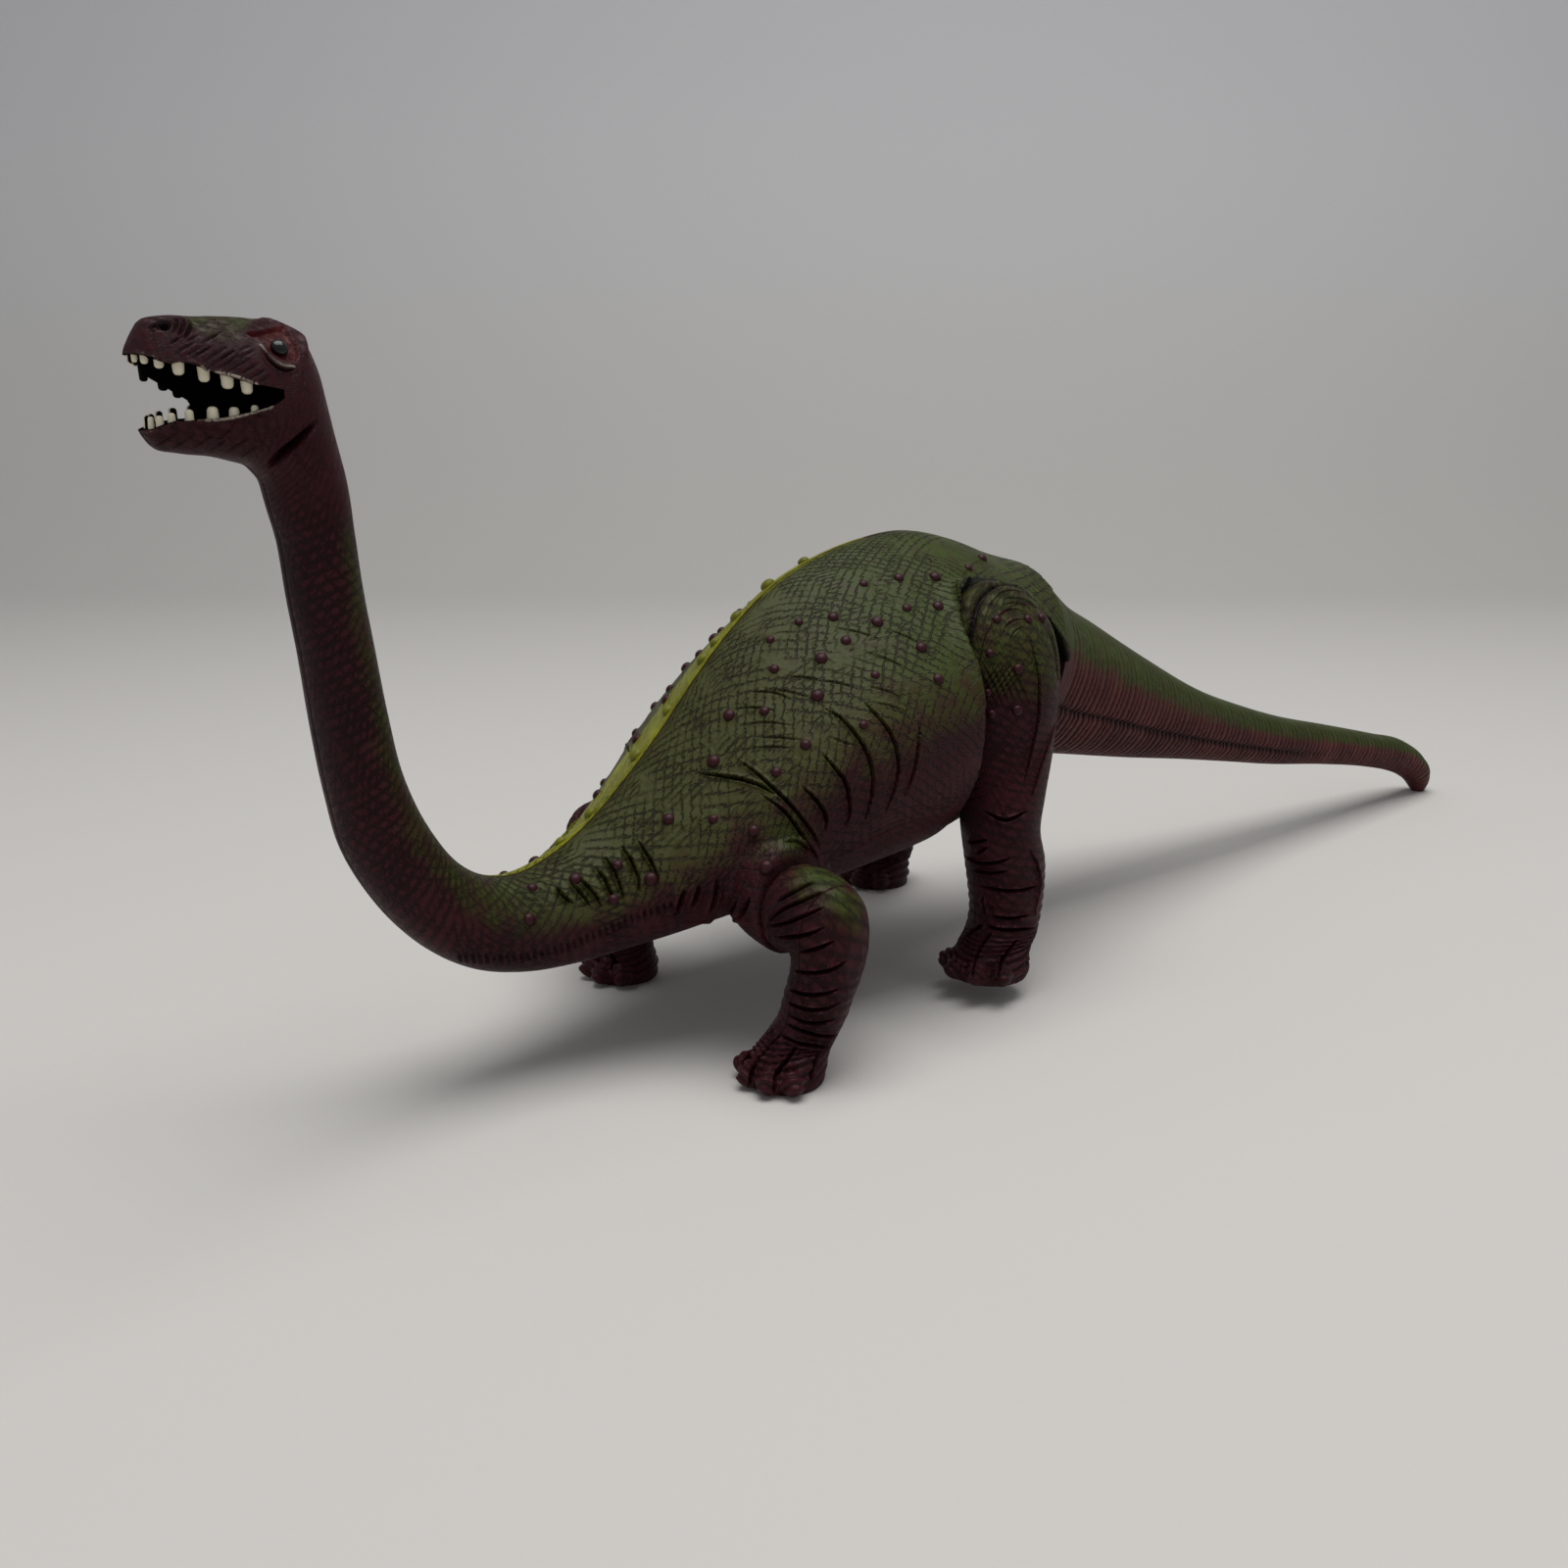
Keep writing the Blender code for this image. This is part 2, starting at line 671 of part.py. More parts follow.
def add_toes(leg, name, side, centre_x, centre_y, sole, half_x, half_y):
    """Blunt toes round the front of a foot."""
    for index, degrees in enumerate(toe_turns):
        angle = math.radians(degrees)
        ahead = Vector((-math.cos(angle), side * math.sin(angle), 0))
        beside = Vector((ahead.y, -ahead.x, 0))
        place = Vector((centre_x + half_x * ahead.x, centre_y + half_y * ahead.y, sole + toe_radius))
        place -= ahead * toe_reach * toe_setback_share
        rings = []
        for step in range(1, toe_steps):
            turn = math.pi * step / toe_steps
            centre = place - ahead * toe_reach * math.cos(turn)
            size = toe_radius * math.sin(turn)
            rings.append(oval(centre, Vector((0, 0, size)), beside * size, toe_segments))
        combine(leg, loft("%s_toe_%d" % (name, index), rings), "UNION")


def hind_rings(side, stride, splay, lift, count, inset, floor):
    """Rings of a hind leg, from the top of the thigh to the sole."""
    rows = []
    reach = thigh_radius - inset
    for rise, thick in thigh_dome_shares:
        half_x = reach * math.sqrt(1 - rise**2)
        rows.append((hip_height + reach * rise, hip_x, body_width * thigh_dome_side_share, half_x,
                     max(thigh_radius * thick - inset, half_x * thigh_dome_least_share)))
    for height, ahead, out, half_x, half_y in hind_section_shares:
        progress = leg_progress(height)
        level = lift + (hip_height - lift) * height
        if level >= lift + floor:
            rows.append((level, hip_x + thigh_radius * ahead + stride * progress,
                         body_width * out + splay * progress, thigh_radius * half_x - inset,
                         thigh_radius * half_y - inset))
    rings = []
    for level, x, out, half_x, half_y in rows:
        centre = Vector((x, side * out, level))
        rings.append(oval(centre, Vector((-half_x, 0, 0)), Vector((0, side * half_y, 0)), count))
    return rings


def make_leg(joint_name, leg_name, side, solid, hollow, face, split, slant, height):
    """Outer and inner half of one leg with its stem, washer and screw."""
    pivot = make_pivot(joint_name + "_pivot", face)
    inwards = Vector((0, -side, 0))
    combine(solid, stem(leg_name + "_stem", face, inwards, stem_radius), "UNION")
    combine(hollow, stem(leg_name + "_boss", face, inwards, stem_radius), "DIFFERENCE")
    mark_as_guide(solid)
    mark_as_guide(hollow)
    hole = pilot_hole(leg_name + "_pilot_hole", face, inwards)
    for part_name, outer in (("outer", True), ("inner", False)):
        shell = split_block("%s_%s_shell" % (leg_name, part_name), side, outer, split, slant, height)
        combine(shell, solid, "INTERSECT")
        combine(shell, hollow, "DIFFERENCE")
        if not outer:
            combine(shell, hole, "DIFFERENCE")
        finish(shell, make_material("%s_%s_plastic" % (leg_name, part_name), colours["leg"], 0.5))
        hang_on(shell, pivot)
    add_hardware(joint_name, face, inwards, washer_radius, pivot)


def trim_flat(thing, name, side, plane):
    """Cut a leg flat where it faces the body."""
    low, high = sorted((0, side * plane))
    cut = block(name, (-figure_length, low, -overrun), (figure_length, high, 2 * figure_height))
    combine(thing, cut, "DIFFERENCE")


def make_hind_leg(side_name, stride, splay, lift):
    side = sides[side_name]
    name = "hindleg_" + side_name
    solid = loft(name + "_solid", hind_rings(side, stride, splay, lift, leg_segments, 0, 0))
    foot = hind_section_shares[-2]
    add_toes(solid, name, side, hip_x + thigh_radius * foot[1] + stride,
             side * (body_width * foot[2] + splay), lift, thigh_radius * foot[3], thigh_radius * foot[4])
    hollow = loft(name + "_hollow", hind_rings(side, stride, splay, lift, cavity_segments, wall, wall))
    trim_flat(solid, name + "_flat", side, hip_plane)
    trim_flat(hollow, name + "_inner_flat", side, hip_plane + wall)
    face = Vector((hip_x, side * hip_plane, hip_height))
    make_leg("hip_" + side_name, name, side, solid, hollow, face, body_width * hip_split_share,
             splay, hip_height)


def make_fore_leg(side_name, stride, splay):
    side = sides[side_name]
    name = "foreleg_" + side_name
    solid = loft(name + "_solid", limb_rings(fore_section_shares, side, stride, splay, leg_segments, 0,
                                             shoulder_plane, 0))
    foot = fore_section_shares[-2]
    add_toes(solid, name, side, shoulder_x + arm_radius * foot[1] + stride,
             side * (body_width * foot[0] + splay), 0, arm_radius * foot[3], arm_radius * foot[4])
    hollow_rows = fore_section_shares[:1] + fore_section_shares[2:]
    hollow = loft(name + "_hollow", limb_rings(hollow_rows, side, stride, splay, cavity_segments, wall,
                                               shoulder_plane + wall, wall))
    face = Vector((shoulder_x, side * shoulder_plane, shoulder_height))
    make_leg("shoulder_" + side_name, name, side, solid, hollow, face,
             body_width * shoulder_split_share, splay + fore_split_lean, shoulder_height)


def centre_stance():
    """Move the whole figure across, guides too, so that its box is centred on the origin."""
    for thing in bpy.context.scene.objects:
        if thing.parent is None:
            thing.location.y -= stance_offset


def main():
    clear_scene()
    make_body()
    make_tail()
    make_hind_leg("left", 0, 0, hind_lift)
    make_hind_leg("right", hind_stride, hind_splay, 0)
    make_fore_leg("left", 0, 0)
    make_fore_leg("right", fore_stride, fore_splay)
    centre_stance()


main()
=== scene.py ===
"""Looks of the toy dinosaur figure: sculpted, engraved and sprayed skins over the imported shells.

The near side is sculpted from lines and spots read off the photograph, in its pixels. They are cast
from the camera onto the plain skin, and the far side gets their mirror image.
"""
import math

import bpy
import numpy as np
from mathutils import Euler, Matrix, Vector
from mathutils.bvhtree import BVHTree


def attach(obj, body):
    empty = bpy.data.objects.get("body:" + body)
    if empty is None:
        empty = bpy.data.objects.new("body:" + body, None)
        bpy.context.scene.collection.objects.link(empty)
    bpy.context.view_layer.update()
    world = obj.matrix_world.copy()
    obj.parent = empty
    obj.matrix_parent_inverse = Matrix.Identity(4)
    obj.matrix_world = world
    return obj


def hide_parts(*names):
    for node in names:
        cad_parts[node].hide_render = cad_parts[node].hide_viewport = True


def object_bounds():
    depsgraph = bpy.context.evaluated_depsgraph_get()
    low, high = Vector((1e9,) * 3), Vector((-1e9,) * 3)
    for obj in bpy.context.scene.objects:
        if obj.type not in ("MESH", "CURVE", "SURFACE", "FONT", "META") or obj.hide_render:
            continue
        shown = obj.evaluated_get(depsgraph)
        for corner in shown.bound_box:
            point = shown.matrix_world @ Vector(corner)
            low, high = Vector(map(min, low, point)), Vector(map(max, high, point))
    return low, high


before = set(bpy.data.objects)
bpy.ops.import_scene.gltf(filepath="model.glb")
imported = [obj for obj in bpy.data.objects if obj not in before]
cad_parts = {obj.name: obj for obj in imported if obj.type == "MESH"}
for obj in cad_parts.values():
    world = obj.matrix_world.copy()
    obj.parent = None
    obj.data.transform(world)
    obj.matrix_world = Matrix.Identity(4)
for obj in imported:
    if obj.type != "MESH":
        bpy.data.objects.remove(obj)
cad_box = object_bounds()

# Driving sizes, as in the construction
figure_length = 0.374
figure_height = 0.1267
body_width = 0.066
fit_gap = 0.0003
seam_gap = 0.0001
swing_gap = 0.0010
thigh_radius = 0.013
arm_radius = 0.008
tail_ring_radius = 0.0214
tail_lip = 0.0008
hind_lift = 0.004
hind_stride = 0.0335
hind_splay = 0.012
fore_stride = 0.0070
fore_splay = -0.0062
fore_split_lean = -0.003
arm_cut_low = 0.0185
toe_radius = 0.0025
toe_reach = 0.0042
toe_setback_share = 0.35
stance_offset = 0.00315
overrun = 0.005
recess_ease = 0.0006
box_margin = 0.00003
mouth_web_reach = 0.0098
mouth_web_half = 0.0008
palate_reach = 0.0165
palate_rise = 0.0026
web_drop = 0.0010
web_overlap = 0.0032
wart_radius = 0.00110
wart_squash = 0.70
wart_lift = 0.00006
ridge_wart_aside = 0.0026
tooth_setback = 0.0011
tooth_taper = 0.78
tooth_rounding = 0.58
# How much longer the far teeth are, so that they show through the open mouth
far_tooth_length = 1.4
tooth_root = 0.0012
# The size of one of the photograph's pixels at the head
head_pixel = 0.001 / 7.2
palate_tooth_aside = 0.0022
mouth_margin = 0.00002
rim_width = 0.0010
rim_height = 0.0018
bar_period = 0.0021
bar_height = 0.00055

hip_x = figure_length * -0.0887
hip_height = figure_height * 0.5404
hip_plane = body_width * 0.262
hip_split = body_width * 0.400
shoulder_x = figure_length * -0.2443
shoulder_height = figure_height * 0.2289
shoulder_plane = body_width * 0.424
shoulder_split = body_width * 0.560
tail_tilt = math.radians(15)
tail_ring_centre = np.array((figure_length * -0.0334, 0, figure_height * 0.4871))
tail_axis = np.array((math.cos(tail_tilt), 0, -math.sin(tail_tilt)))
tail_up = np.array((math.sin(tail_tilt), 0, math.cos(tail_tilt)))
mouth_corner_x = figure_length * -0.4503
mouth_corner_z = figure_height * 0.9163
mouth_upper_slope = math.radians(12)
mouth_lower_slope = math.radians(11.5)
recess_front_slope = math.radians(5)
recess_rear_slope = math.radians(32)
step_curve = 1.5
foot_top_share = 0.12
thigh_dome_side_share = 0.288

# Lips in the side view: distance ahead of the mouth's corner, and height over it
upper_lip_curve = (
    (0.0000, 0.0006), (0.0039, 0.0014), (0.0076, 0.0026), (0.0095, 0.0031), (0.0106, 0.0038),
    (0.0125, 0.0042), (0.0139, 0.0039), (0.0154, 0.0044), (0.0167, 0.0050), (0.0183, 0.0052),
    (0.0196, 0.0050), (0.0300, 0.0072),
)
lower_lip_curve = (
    (0.0000, -0.0006), (0.0015, -0.0016), (0.0038, -0.0024), (0.0062, -0.0030), (0.0084, -0.0034),
    (0.0124, -0.0036), (0.0139, -0.0037), (0.0159, -0.0045), (0.0179, -0.0050), (0.0300, -0.0069),
)

# How each kind of line is cut: its depth and width, and where they differ from plain, its raised
# edge, the taper of its ends and how dark the painted shade in it is
fold_cut = {"depth": 0.0013, "width": 0.00025, "painted_shade": 0.85}
chest_slit_cut = {"depth": 0.0013, "width": 0.00036, "painted_shade": 0.85}
pleat_cut = {"depth": 0.0009, "width": 0.00022, "lip": 0.8, "painted_shade": 0.7}
streak_cut = {"depth": 0.00034, "width": 0.00018}
fringe_cut = {"depth": 0.00035, "width": 0.00026}
jaw_slit_cut = {"depth": 0.0020, "width": 0.00048, "lip": 0.15}
face_crease_cut = {"depth": 0.0005, "width": 0.00022}
scratch_cut = {"depth": 0.00022, "width": 0.00015, "painted_shade": 0.9}
leg_crease_cut = {"depth": 0.0012, "width": 0.00026, "painted_shade": 0.9}
fine_leg_cut = {"depth": 0.00030, "width": 0.00020, "painted_shade": 0.35}
toe_cut = {"depth": 0.0012, "width": 0.00030, "lip": 0.3, "ends": 0.4}
# The thigh's seam is cut deep and wide with strong painted shade, for the dark gap round the thigh
thigh_seam_cut = {"depth": 0.0015, "width": 0.00075, "lip": 0.0, "ends": 0.25, "painted_shade": 1.5}
# How high each kind of ridge stands, and how broad each stroke of paint is
belly_edge = {"height": 0.0006, "width": 0.0005}
brow_ridge = {"height": 0.0007, "width": 0.0007}
lid_ridge = {"height": 0.0004, "width": 0.0004}
lip_ridge = {"height": 0.0002, "width": 0.0003}
lid_stroke = {"width": 0.00030, "amount": 0.55}
lip_stroke = {"width": 0.00016, "amount": 0.45}
painted_lip_stroke = {"width": 0.00020, "amount": 0.8}
hip_arch_stroke = {"width": 0.0008, "amount": 0.6}
nostril_pit = {"height": -0.0018, "radius": 0.0007}
nostril_wing = {"height": 0.0004, "radius": 0.0018}
nostril_shade = {"radius": 0.0008, "amount": 1.6}
wart_mound = {"height": 0.0002, "radius": 0.0014}
eye_socket_depth = 0.0006
parting_depth = 0.0002
parting_width = 0.0003
fringe_step = 7.0
# How near to a line the skin is modelled more finely
fold_reach = 0.0020
fine_reach = 0.0010
face_reach = 0.0007

# Where paint comes in or fades along the body, from none to full
torso_start = (-0.150, -0.118)
ash_end = (-0.085, -0.050)
near_stripe_start = (-0.086, -0.066)
stripe_start = (-0.150, -0.138)
stripe_fade_end = (-0.070, -0.040)
# The same round the body, in degrees from the middle of the back
green_turns = (112, 60)
ash_turns = (118, 72)
belly_turns = (70, 120)
hatch_turns = (130, 80)
# The same up the legs: from the ground, and over each sole
thigh_paint_heights = (0.052, 0.070)
foot_heights = (0.0105, 0.0060)
shin_heights = (0.030, 0.012)
sole_band = 0.004

# The yellow stripe: how far it reaches from the middle line of the back, full and where it ends
far_stripe_full = 0.0140
far_stripe_end = 0.0225
near_stripe_full = 0.0008
near_stripe_end = 0.0024

# How finely the skins are modelled
body_voxel = 0.00060
limb_voxel = 0.00034
ring_step = 0.0010
tail_step = 0.00036
leg_count = 64
# Ribs across the tail, and the groove along its side
rib_pitch = 0.0020
tail_rib_depth = 0.00075
tail_rib_lean = 0.0035
tail_groove_turn = 112
tail_groove_depth = 0.0008
tail_groove_width = 0.0007
tail_full_girth = 0.009
engraving_depth = 0.0004
skin_specular = 0.14
head_end_x = figure_length * -0.405
head_low_z = figure_height * 0.80

# The photograph's camera
photo_pixels = 1600
photo_centre = photo_pixels / 2
sensor_width = 36.0
lens_length = 34.65
camera_place = Vector((-0.25479, -0.22282, 0.11423))
camera_turn = Euler((math.radians(76), 0, math.radians(-40)))
# The backdrop: how far ahead of the camera it leaves the floor, its curve, and the height of its
# upper colour
sweep_start = 0.95
sweep_radius = 0.40
sweep_dark_height = 0.42
sweep_steps = 32
sweep_behind = -2.5
sweep_top = 2.6
sweep_half_width = 3.5
room_light = (0.62, 0.63, 0.65, 1)
room_strength = 0.56
softbox_size = (0.9, 0.7)
softbox_energy = 8.6
softbox_place = (-0.05, -0.10, 0.95)
softbox_tilt = math.radians(-6)

sides = {"left": -1, "right": 1}

# Sections of the torso, neck and head: top x and z, bottom x and z, half width, sag, peak
body_section_shares = (
    (-0.500, 0.962, -0.498, 0.882, 0.036, 0.00, 0.00),
    (-0.495, 0.988, -0.494, 0.861, 0.061, 0.00, 0.00),
    (-0.487, 0.998, -0.484, 0.852, 0.079, 0.00, 0.00),
    (-0.474, 0.999, -0.472, 0.848, 0.095, 0.00, 0.00),
    (-0.461, 1.000, -0.465, 0.843, 0.112, 0.00, 0.00),
    (-0.449, 0.997, -0.461, 0.840, 0.124, 0.00, 0.00),
    (-0.436, 0.985, -0.458, 0.837, 0.127, 0.00, 0.00),
    (-0.430, 0.952, -0.456, 0.830, 0.123, 0.00, 0.00),
    (-0.427, 0.914, -0.453, 0.820, 0.115, 0.00, 0.00),
    (-0.424, 0.874, -0.452, 0.806, 0.106, 0.00, 0.00),
    (-0.420, 0.822, -0.451, 0.788, 0.098, 0.00, 0.00),
    (-0.418, 0.759, -0.448, 0.750, 0.095, 0.00, 0.00),
    (-0.416, 0.694, -0.446, 0.685, 0.092, 0.00, 0.00),
    (-0.413, 0.624, -0.443, 0.615, 0.097, 0.00, 0.00),
    (-0.409, 0.535, -0.440, 0.525, 0.103, 0.00, 0.00),
    (-0.404, 0.458, -0.436, 0.435, 0.105, 0.00, 0.00),
    (-0.397, 0.403, -0.431, 0.364, 0.108, 0.00, 0.00),
    (-0.390, 0.365, -0.422, 0.308, 0.109, 0.00, 0.00),
    (-0.383, 0.335, -0.410, 0.256, 0.112, 0.00, 0.00),
    (-0.374, 0.310, -0.393, 0.205, 0.117, 0.00, 0.00),
    (-0.363, 0.293, -0.374, 0.170, 0.126, 0.00, 0.06),
    (-0.348, 0.289, -0.351, 0.151, 0.145, 0.00, 0.18),
    (-0.331, 0.304, -0.328, 0.147, 0.174, 0.02, 0.39),
    (-0.311, 0.337, -0.304, 0.152, 0.214, 0.07, 0.54),
    (-0.288, 0.393, -0.281, 0.161, 0.280, 0.11, 0.64),
    (-0.266, 0.457, -0.259, 0.171, 0.340, 0.14, 0.68),
    (-0.245, 0.525, -0.239, 0.180, 0.394, 0.17, 0.70),
    (-0.220, 0.595, -0.216, 0.188, 0.440, 0.16, 0.68),
    (-0.194, 0.649, -0.191, 0.197, 0.474, 0.17, 0.65),
    (-0.167, 0.682, -0.164, 0.206, 0.492, 0.17, 0.60),
    (-0.135, 0.705, -0.135, 0.217, 0.500, 0.16, 0.53),
    (-0.103, 0.713, -0.107, 0.233, 0.485, 0.13, 0.43),
    (-0.074, 0.697, -0.084, 0.251, 0.447, 0.09, 0.32),
    (-0.045, 0.669, -0.064, 0.284, 0.379, 0.04, 0.19),
)
# The tail behind its ring, in the same shares
tail_section_shares = (
    (0.010, 0.585, -0.016, 0.316, 0.268),
    (0.044, 0.536, 0.023, 0.296, 0.233),
    (0.074, 0.492, 0.054, 0.279, 0.206),
    (0.105, 0.448, 0.087, 0.261, 0.180),
    (0.171, 0.361, 0.159, 0.225, 0.137),
    (0.221, 0.312, 0.211, 0.197, 0.115),
    (0.269, 0.271, 0.262, 0.169, 0.104),
    (0.341, 0.222, 0.335, 0.136, 0.093),
    (0.409, 0.175, 0.402, 0.100, 0.085),
    (0.452, 0.143, 0.441, 0.072, 0.079),
    (0.482, 0.098, 0.464, 0.048, 0.072),
    (0.497, 0.056, 0.478, 0.026, 0.060),
    (0.499, 0.025, 0.484, 0.010, 0.045),
    (0.497, 0.000, 0.487, 0.000, 0.028),
)
thigh_dome_shares = ((0.986, 0.179), (0.864, 0.386), (0.650, 0.614), (0.357, 0.857))
# Hind leg: height, offset ahead, side offset, half depth, half thickness
hind_section_shares = (
    (1.000, 0.00, 0.288, 1.00, 1.02),
    (0.905, 0.00, 0.299, 0.98, 1.06),
    (0.788, -0.02, 0.312, 0.92, 1.00),
    (0.672, -0.05, 0.343, 0.80, 0.83),
    (0.555, -0.19, 0.385, 0.66, 0.67),
    (0.453, -0.29, 0.405, 0.61, 0.60),
    (0.360, -0.23, 0.415, 0.62, 0.61),
    (0.277, -0.22, 0.422, 0.59, 0.58),
    (0.200, -0.23, 0.424, 0.55, 0.55),
    (0.135, -0.31, 0.424, 0.55, 0.55),
    (0.075, -0.50, 0.424, 0.57, 0.56),
    (0.026, -0.54, 0.424, 0.60, 0.59),
    (0.000, -0.54, 0.424, 0.57, 0.56),
)
# Foreleg: side offset, offset ahead, height, two half widths, turn in degrees
fore_section_shares = (
    (0.424, 0.00, 1.000, 1.000, 1.000, 0),
    (0.470, 0.06, 1.007, 1.012, 0.988, 15),
    (0.528, 0.12, 0.945, 0.980, 0.960, 45),
    (0.549, 0.10, 0.803, 0.880, 0.840, 75),
    (0.549, 0.00, 0.672, 0.800, 0.790, 90),
    (0.543, -0.16, 0.534, 0.775, 0.760, 90),
    (0.533, -0.28, 0.400, 0.755, 0.750, 90),
    (0.520, -0.48, 0.290, 0.780, 0.770, 90),
    (0.508, -0.70, 0.180, 0.820, 0.820, 90),
    (0.503, -0.80, 0.069, 0.860, 0.840, 90),
    (0.503, -0.80, 0.000, 0.810, 0.790, 90),
)
shoulder_section_shares = (
    (0.120, 0.40, 1.320, 1.10, 1.10, 50),
    (0.275, 0.25, 1.185, 1.31, 1.31, 45),
    (0.362, 0.10, 1.065, 1.25, 1.25, 25),
    (0.424, 0.00, 1.000, 1.08, 1.08, 0),
)
toe_turns = (-52, -14, 24, 60)

# Folds of the flank, shoulder and neck base, in the photograph's pixels
flank_folds = (
    ((712, 789), (736, 792), (758, 796), (774, 801), (793, 812)),
    ((753, 776), (768, 786), (786, 802), (804, 819), (820, 838), (832, 856), (837, 868)),
    ((776, 810), (800, 828), (818, 852), (830, 870), (836, 879)),
    ((818, 802), (830, 814), (839, 826), (843, 838), (842, 849)),
    ((838, 768), (852, 784), (862, 798), (866, 814), (867, 828), (863, 844)),
    ((840, 722), (854, 730), (870, 746), (882, 764), (889, 784), (890, 804), (887, 822),
     (881, 840)),
    ((881, 715), (892, 728), (904, 742), (912, 758), (916, 776), (915, 794), (910, 812),
     (903, 830)),
    ((939, 738), (937, 760), (933, 782), (928, 800), (923, 813)),
    ((800, 859), (812, 859), (822, 865), (827, 870)),
)
flank_streaks = (
    ((764, 706), (790, 707), (812, 716)), ((780, 703), (806, 706), (830, 713)),
    ((742, 724), (768, 722), (796, 726)), ((752, 740), (782, 737), (812, 741)),
    ((770, 752), (800, 753), (822, 756)), ((764, 764), (790, 762), (808, 764)),
    ((836, 694), (860, 698), (880, 705)), ((884, 700), (908, 706), (926, 716)),
    ((890, 716), (914, 722), (930, 730)), ((846, 752), (862, 758), (878, 762)),
    ((900, 640), (926, 650), (948, 664)), ((880, 664), (904, 672), (930, 684)),
    ((850, 640), (880, 646), (900, 654)), ((800, 690), (826, 692), (846, 698)),
)
chest_slits = (
    ((699, 907), (695, 920), (690, 935)),
    ((714, 903), (711, 915), (706, 928)),
    ((732, 897), (731, 912), (727, 926), (722, 936)),
    ((752, 912), (750, 923), (742, 935)),
    ((765, 914), (762, 924), (754, 936)),
)
neck_folds = (
    ((650, 857), (661, 874), (669, 890), (672, 902)),
    ((634, 863), (645, 881), (651, 897), (653, 912)),
    ((616, 873), (627, 890), (633, 906), (637, 920)),
    ((606, 884), (616, 897), (624, 914), (629, 922)),
    ((590, 896), (600, 906), (607, 914), (614, 926)),
    ((582, 901), (591, 911), (598, 919), (602, 925)),
    ((566, 905), (576, 917), (586, 923)),
)
chest_fringe = ((470, 985), (500, 987), (540, 985), (580, 975), (620, 958), (660, 942), (686, 934))
hip_pleats = (
    ((970, 588), (969, 602), (971, 616), (977, 634)),
    ((982, 590), (978, 604), (980, 618)),
    ((991, 588), (985, 602), (983, 622)),
)
hip_arch_rim = ((988, 640), (992, 622), (1000, 600), (1012, 587), (1026, 584), (1042, 590),
                (1056, 600), (1068, 614))
belly_edges = (
    ((690, 943), (725, 940), (760, 940), (785, 952), (806, 967)),
    ((839, 883), (880, 862), (920, 843), (950, 832), (968, 829)),
)
jaw_fold = ((323, 431), (315, 439), (304, 450), (291, 460), (282, 468), (274, 476))
# Sprays of brighter green on the body: spot, radius and amount
green_sprays = (((700, 800), 0.006, 0.8), ((800, 850), 0.006, 0.9), ((600, 900), 0.007, 0.8),
                ((540, 905), 0.006, 0.8), ((900, 740), 0.004, 0.5), ((640, 890), 0.004, 0.8))
elbow_sprays = (((838, 893), 0.0055, 1.2), ((866, 925), 0.005, 0.9))
# Warts of the flank and neck, then those of the far side along the back's outline
flank_warts = (
    (881, 596), (917, 590), (954, 589), (988, 580), (1002, 570), (815, 635), (850, 630), (895, 635),
    (925, 621), (957, 619), (786, 653), (863, 654), (838, 672), (790, 683), (940, 661), (893, 689),
    (957, 693), (834, 710), (780, 726), (744, 730), (881, 740), (822, 760), (728, 777), (792, 788),
    (682, 836), (728, 836), (769, 848), (782, 885), (630, 883), (587, 897), (543, 906), (540, 938),
    (664, 897), (626, 918),
)
ridge_warts = (
    (575, 856), (603, 826), (646, 767), (681, 721), (717, 668), (730, 651), (757, 625), (791, 593),
    (829, 569),
)
thigh_warts = (
    (1017, 632), (1049, 632), (1063, 631), (1010, 667), (1039, 683), (1008, 707), (1012, 729),
    (1038, 725),
)
# Creases of the near foreleg and hind leg
foreleg_creases = (
    ((831, 900), (814, 909), (793, 920)),
    ((841, 910), (818, 920), (798, 929), (784, 940)),
    ((841, 926), (818, 936), (802, 942), (784, 945)),
    ((841, 947), (823, 954), (805, 956), (791, 956)),
    ((851, 961), (834, 968), (816, 972)),
    ((865, 980), (850, 989), (830, 993), (811, 991)),
    ((858, 1009), (842, 1014), (822, 1015), (805, 1010)),
    ((857, 1023), (840, 1030), (820, 1030), (803, 1023)),
    ((853, 1040), (838, 1044), (820, 1043), (805, 1037)),
    ((854, 1057), (836, 1057), (818, 1052), (803, 1045)),
    ((846, 1069), (830, 1067), (812, 1064), (797, 1057)),
)
foreleg_toe_lines = (
    ((789, 1051), (771, 1070), (757, 1087)),
    ((795, 1057), (779, 1075), (769, 1089), (765, 1108)),
    ((813, 1068), (802, 1083), (793, 1095), (790, 1116)),
    ((835, 1072), (830, 1088), (826, 1104)),
)
hind_creases = (
    ((986, 874), (997, 880), (1011, 881), (1025, 878), (1032, 875)),
    ((994, 888), (1011, 891), (1028, 889)),
    ((999, 904), (1014, 907), (1027, 909), (1044, 908), (1058, 904)),
    ((1006, 944), (1017, 948), (1031, 949), (1045, 948), (1059, 947)),
    ((1002, 913), (1003, 922), (1006, 936)),
    ((988, 859), (998, 859), (1007, 857)),
    ((996, 871), (1007, 865)),
    ((1004, 828), (1026, 837), (1048, 828)),
    ((1012, 935), (1030, 937), (1050, 934)),
)
hind_long_lines = (
    ((1051, 650), (1055, 668), (1059, 688), (1060, 710), (1059, 730), (1055, 752), (1050, 776),
     (1045, 800)),
    ((1079, 734), (1074, 746), (1068, 762), (1060, 786), (1052, 816)),
    ((1051, 867), (1057, 881), (1060, 892), (1060, 907), (1057, 922), (1056, 936)),
)
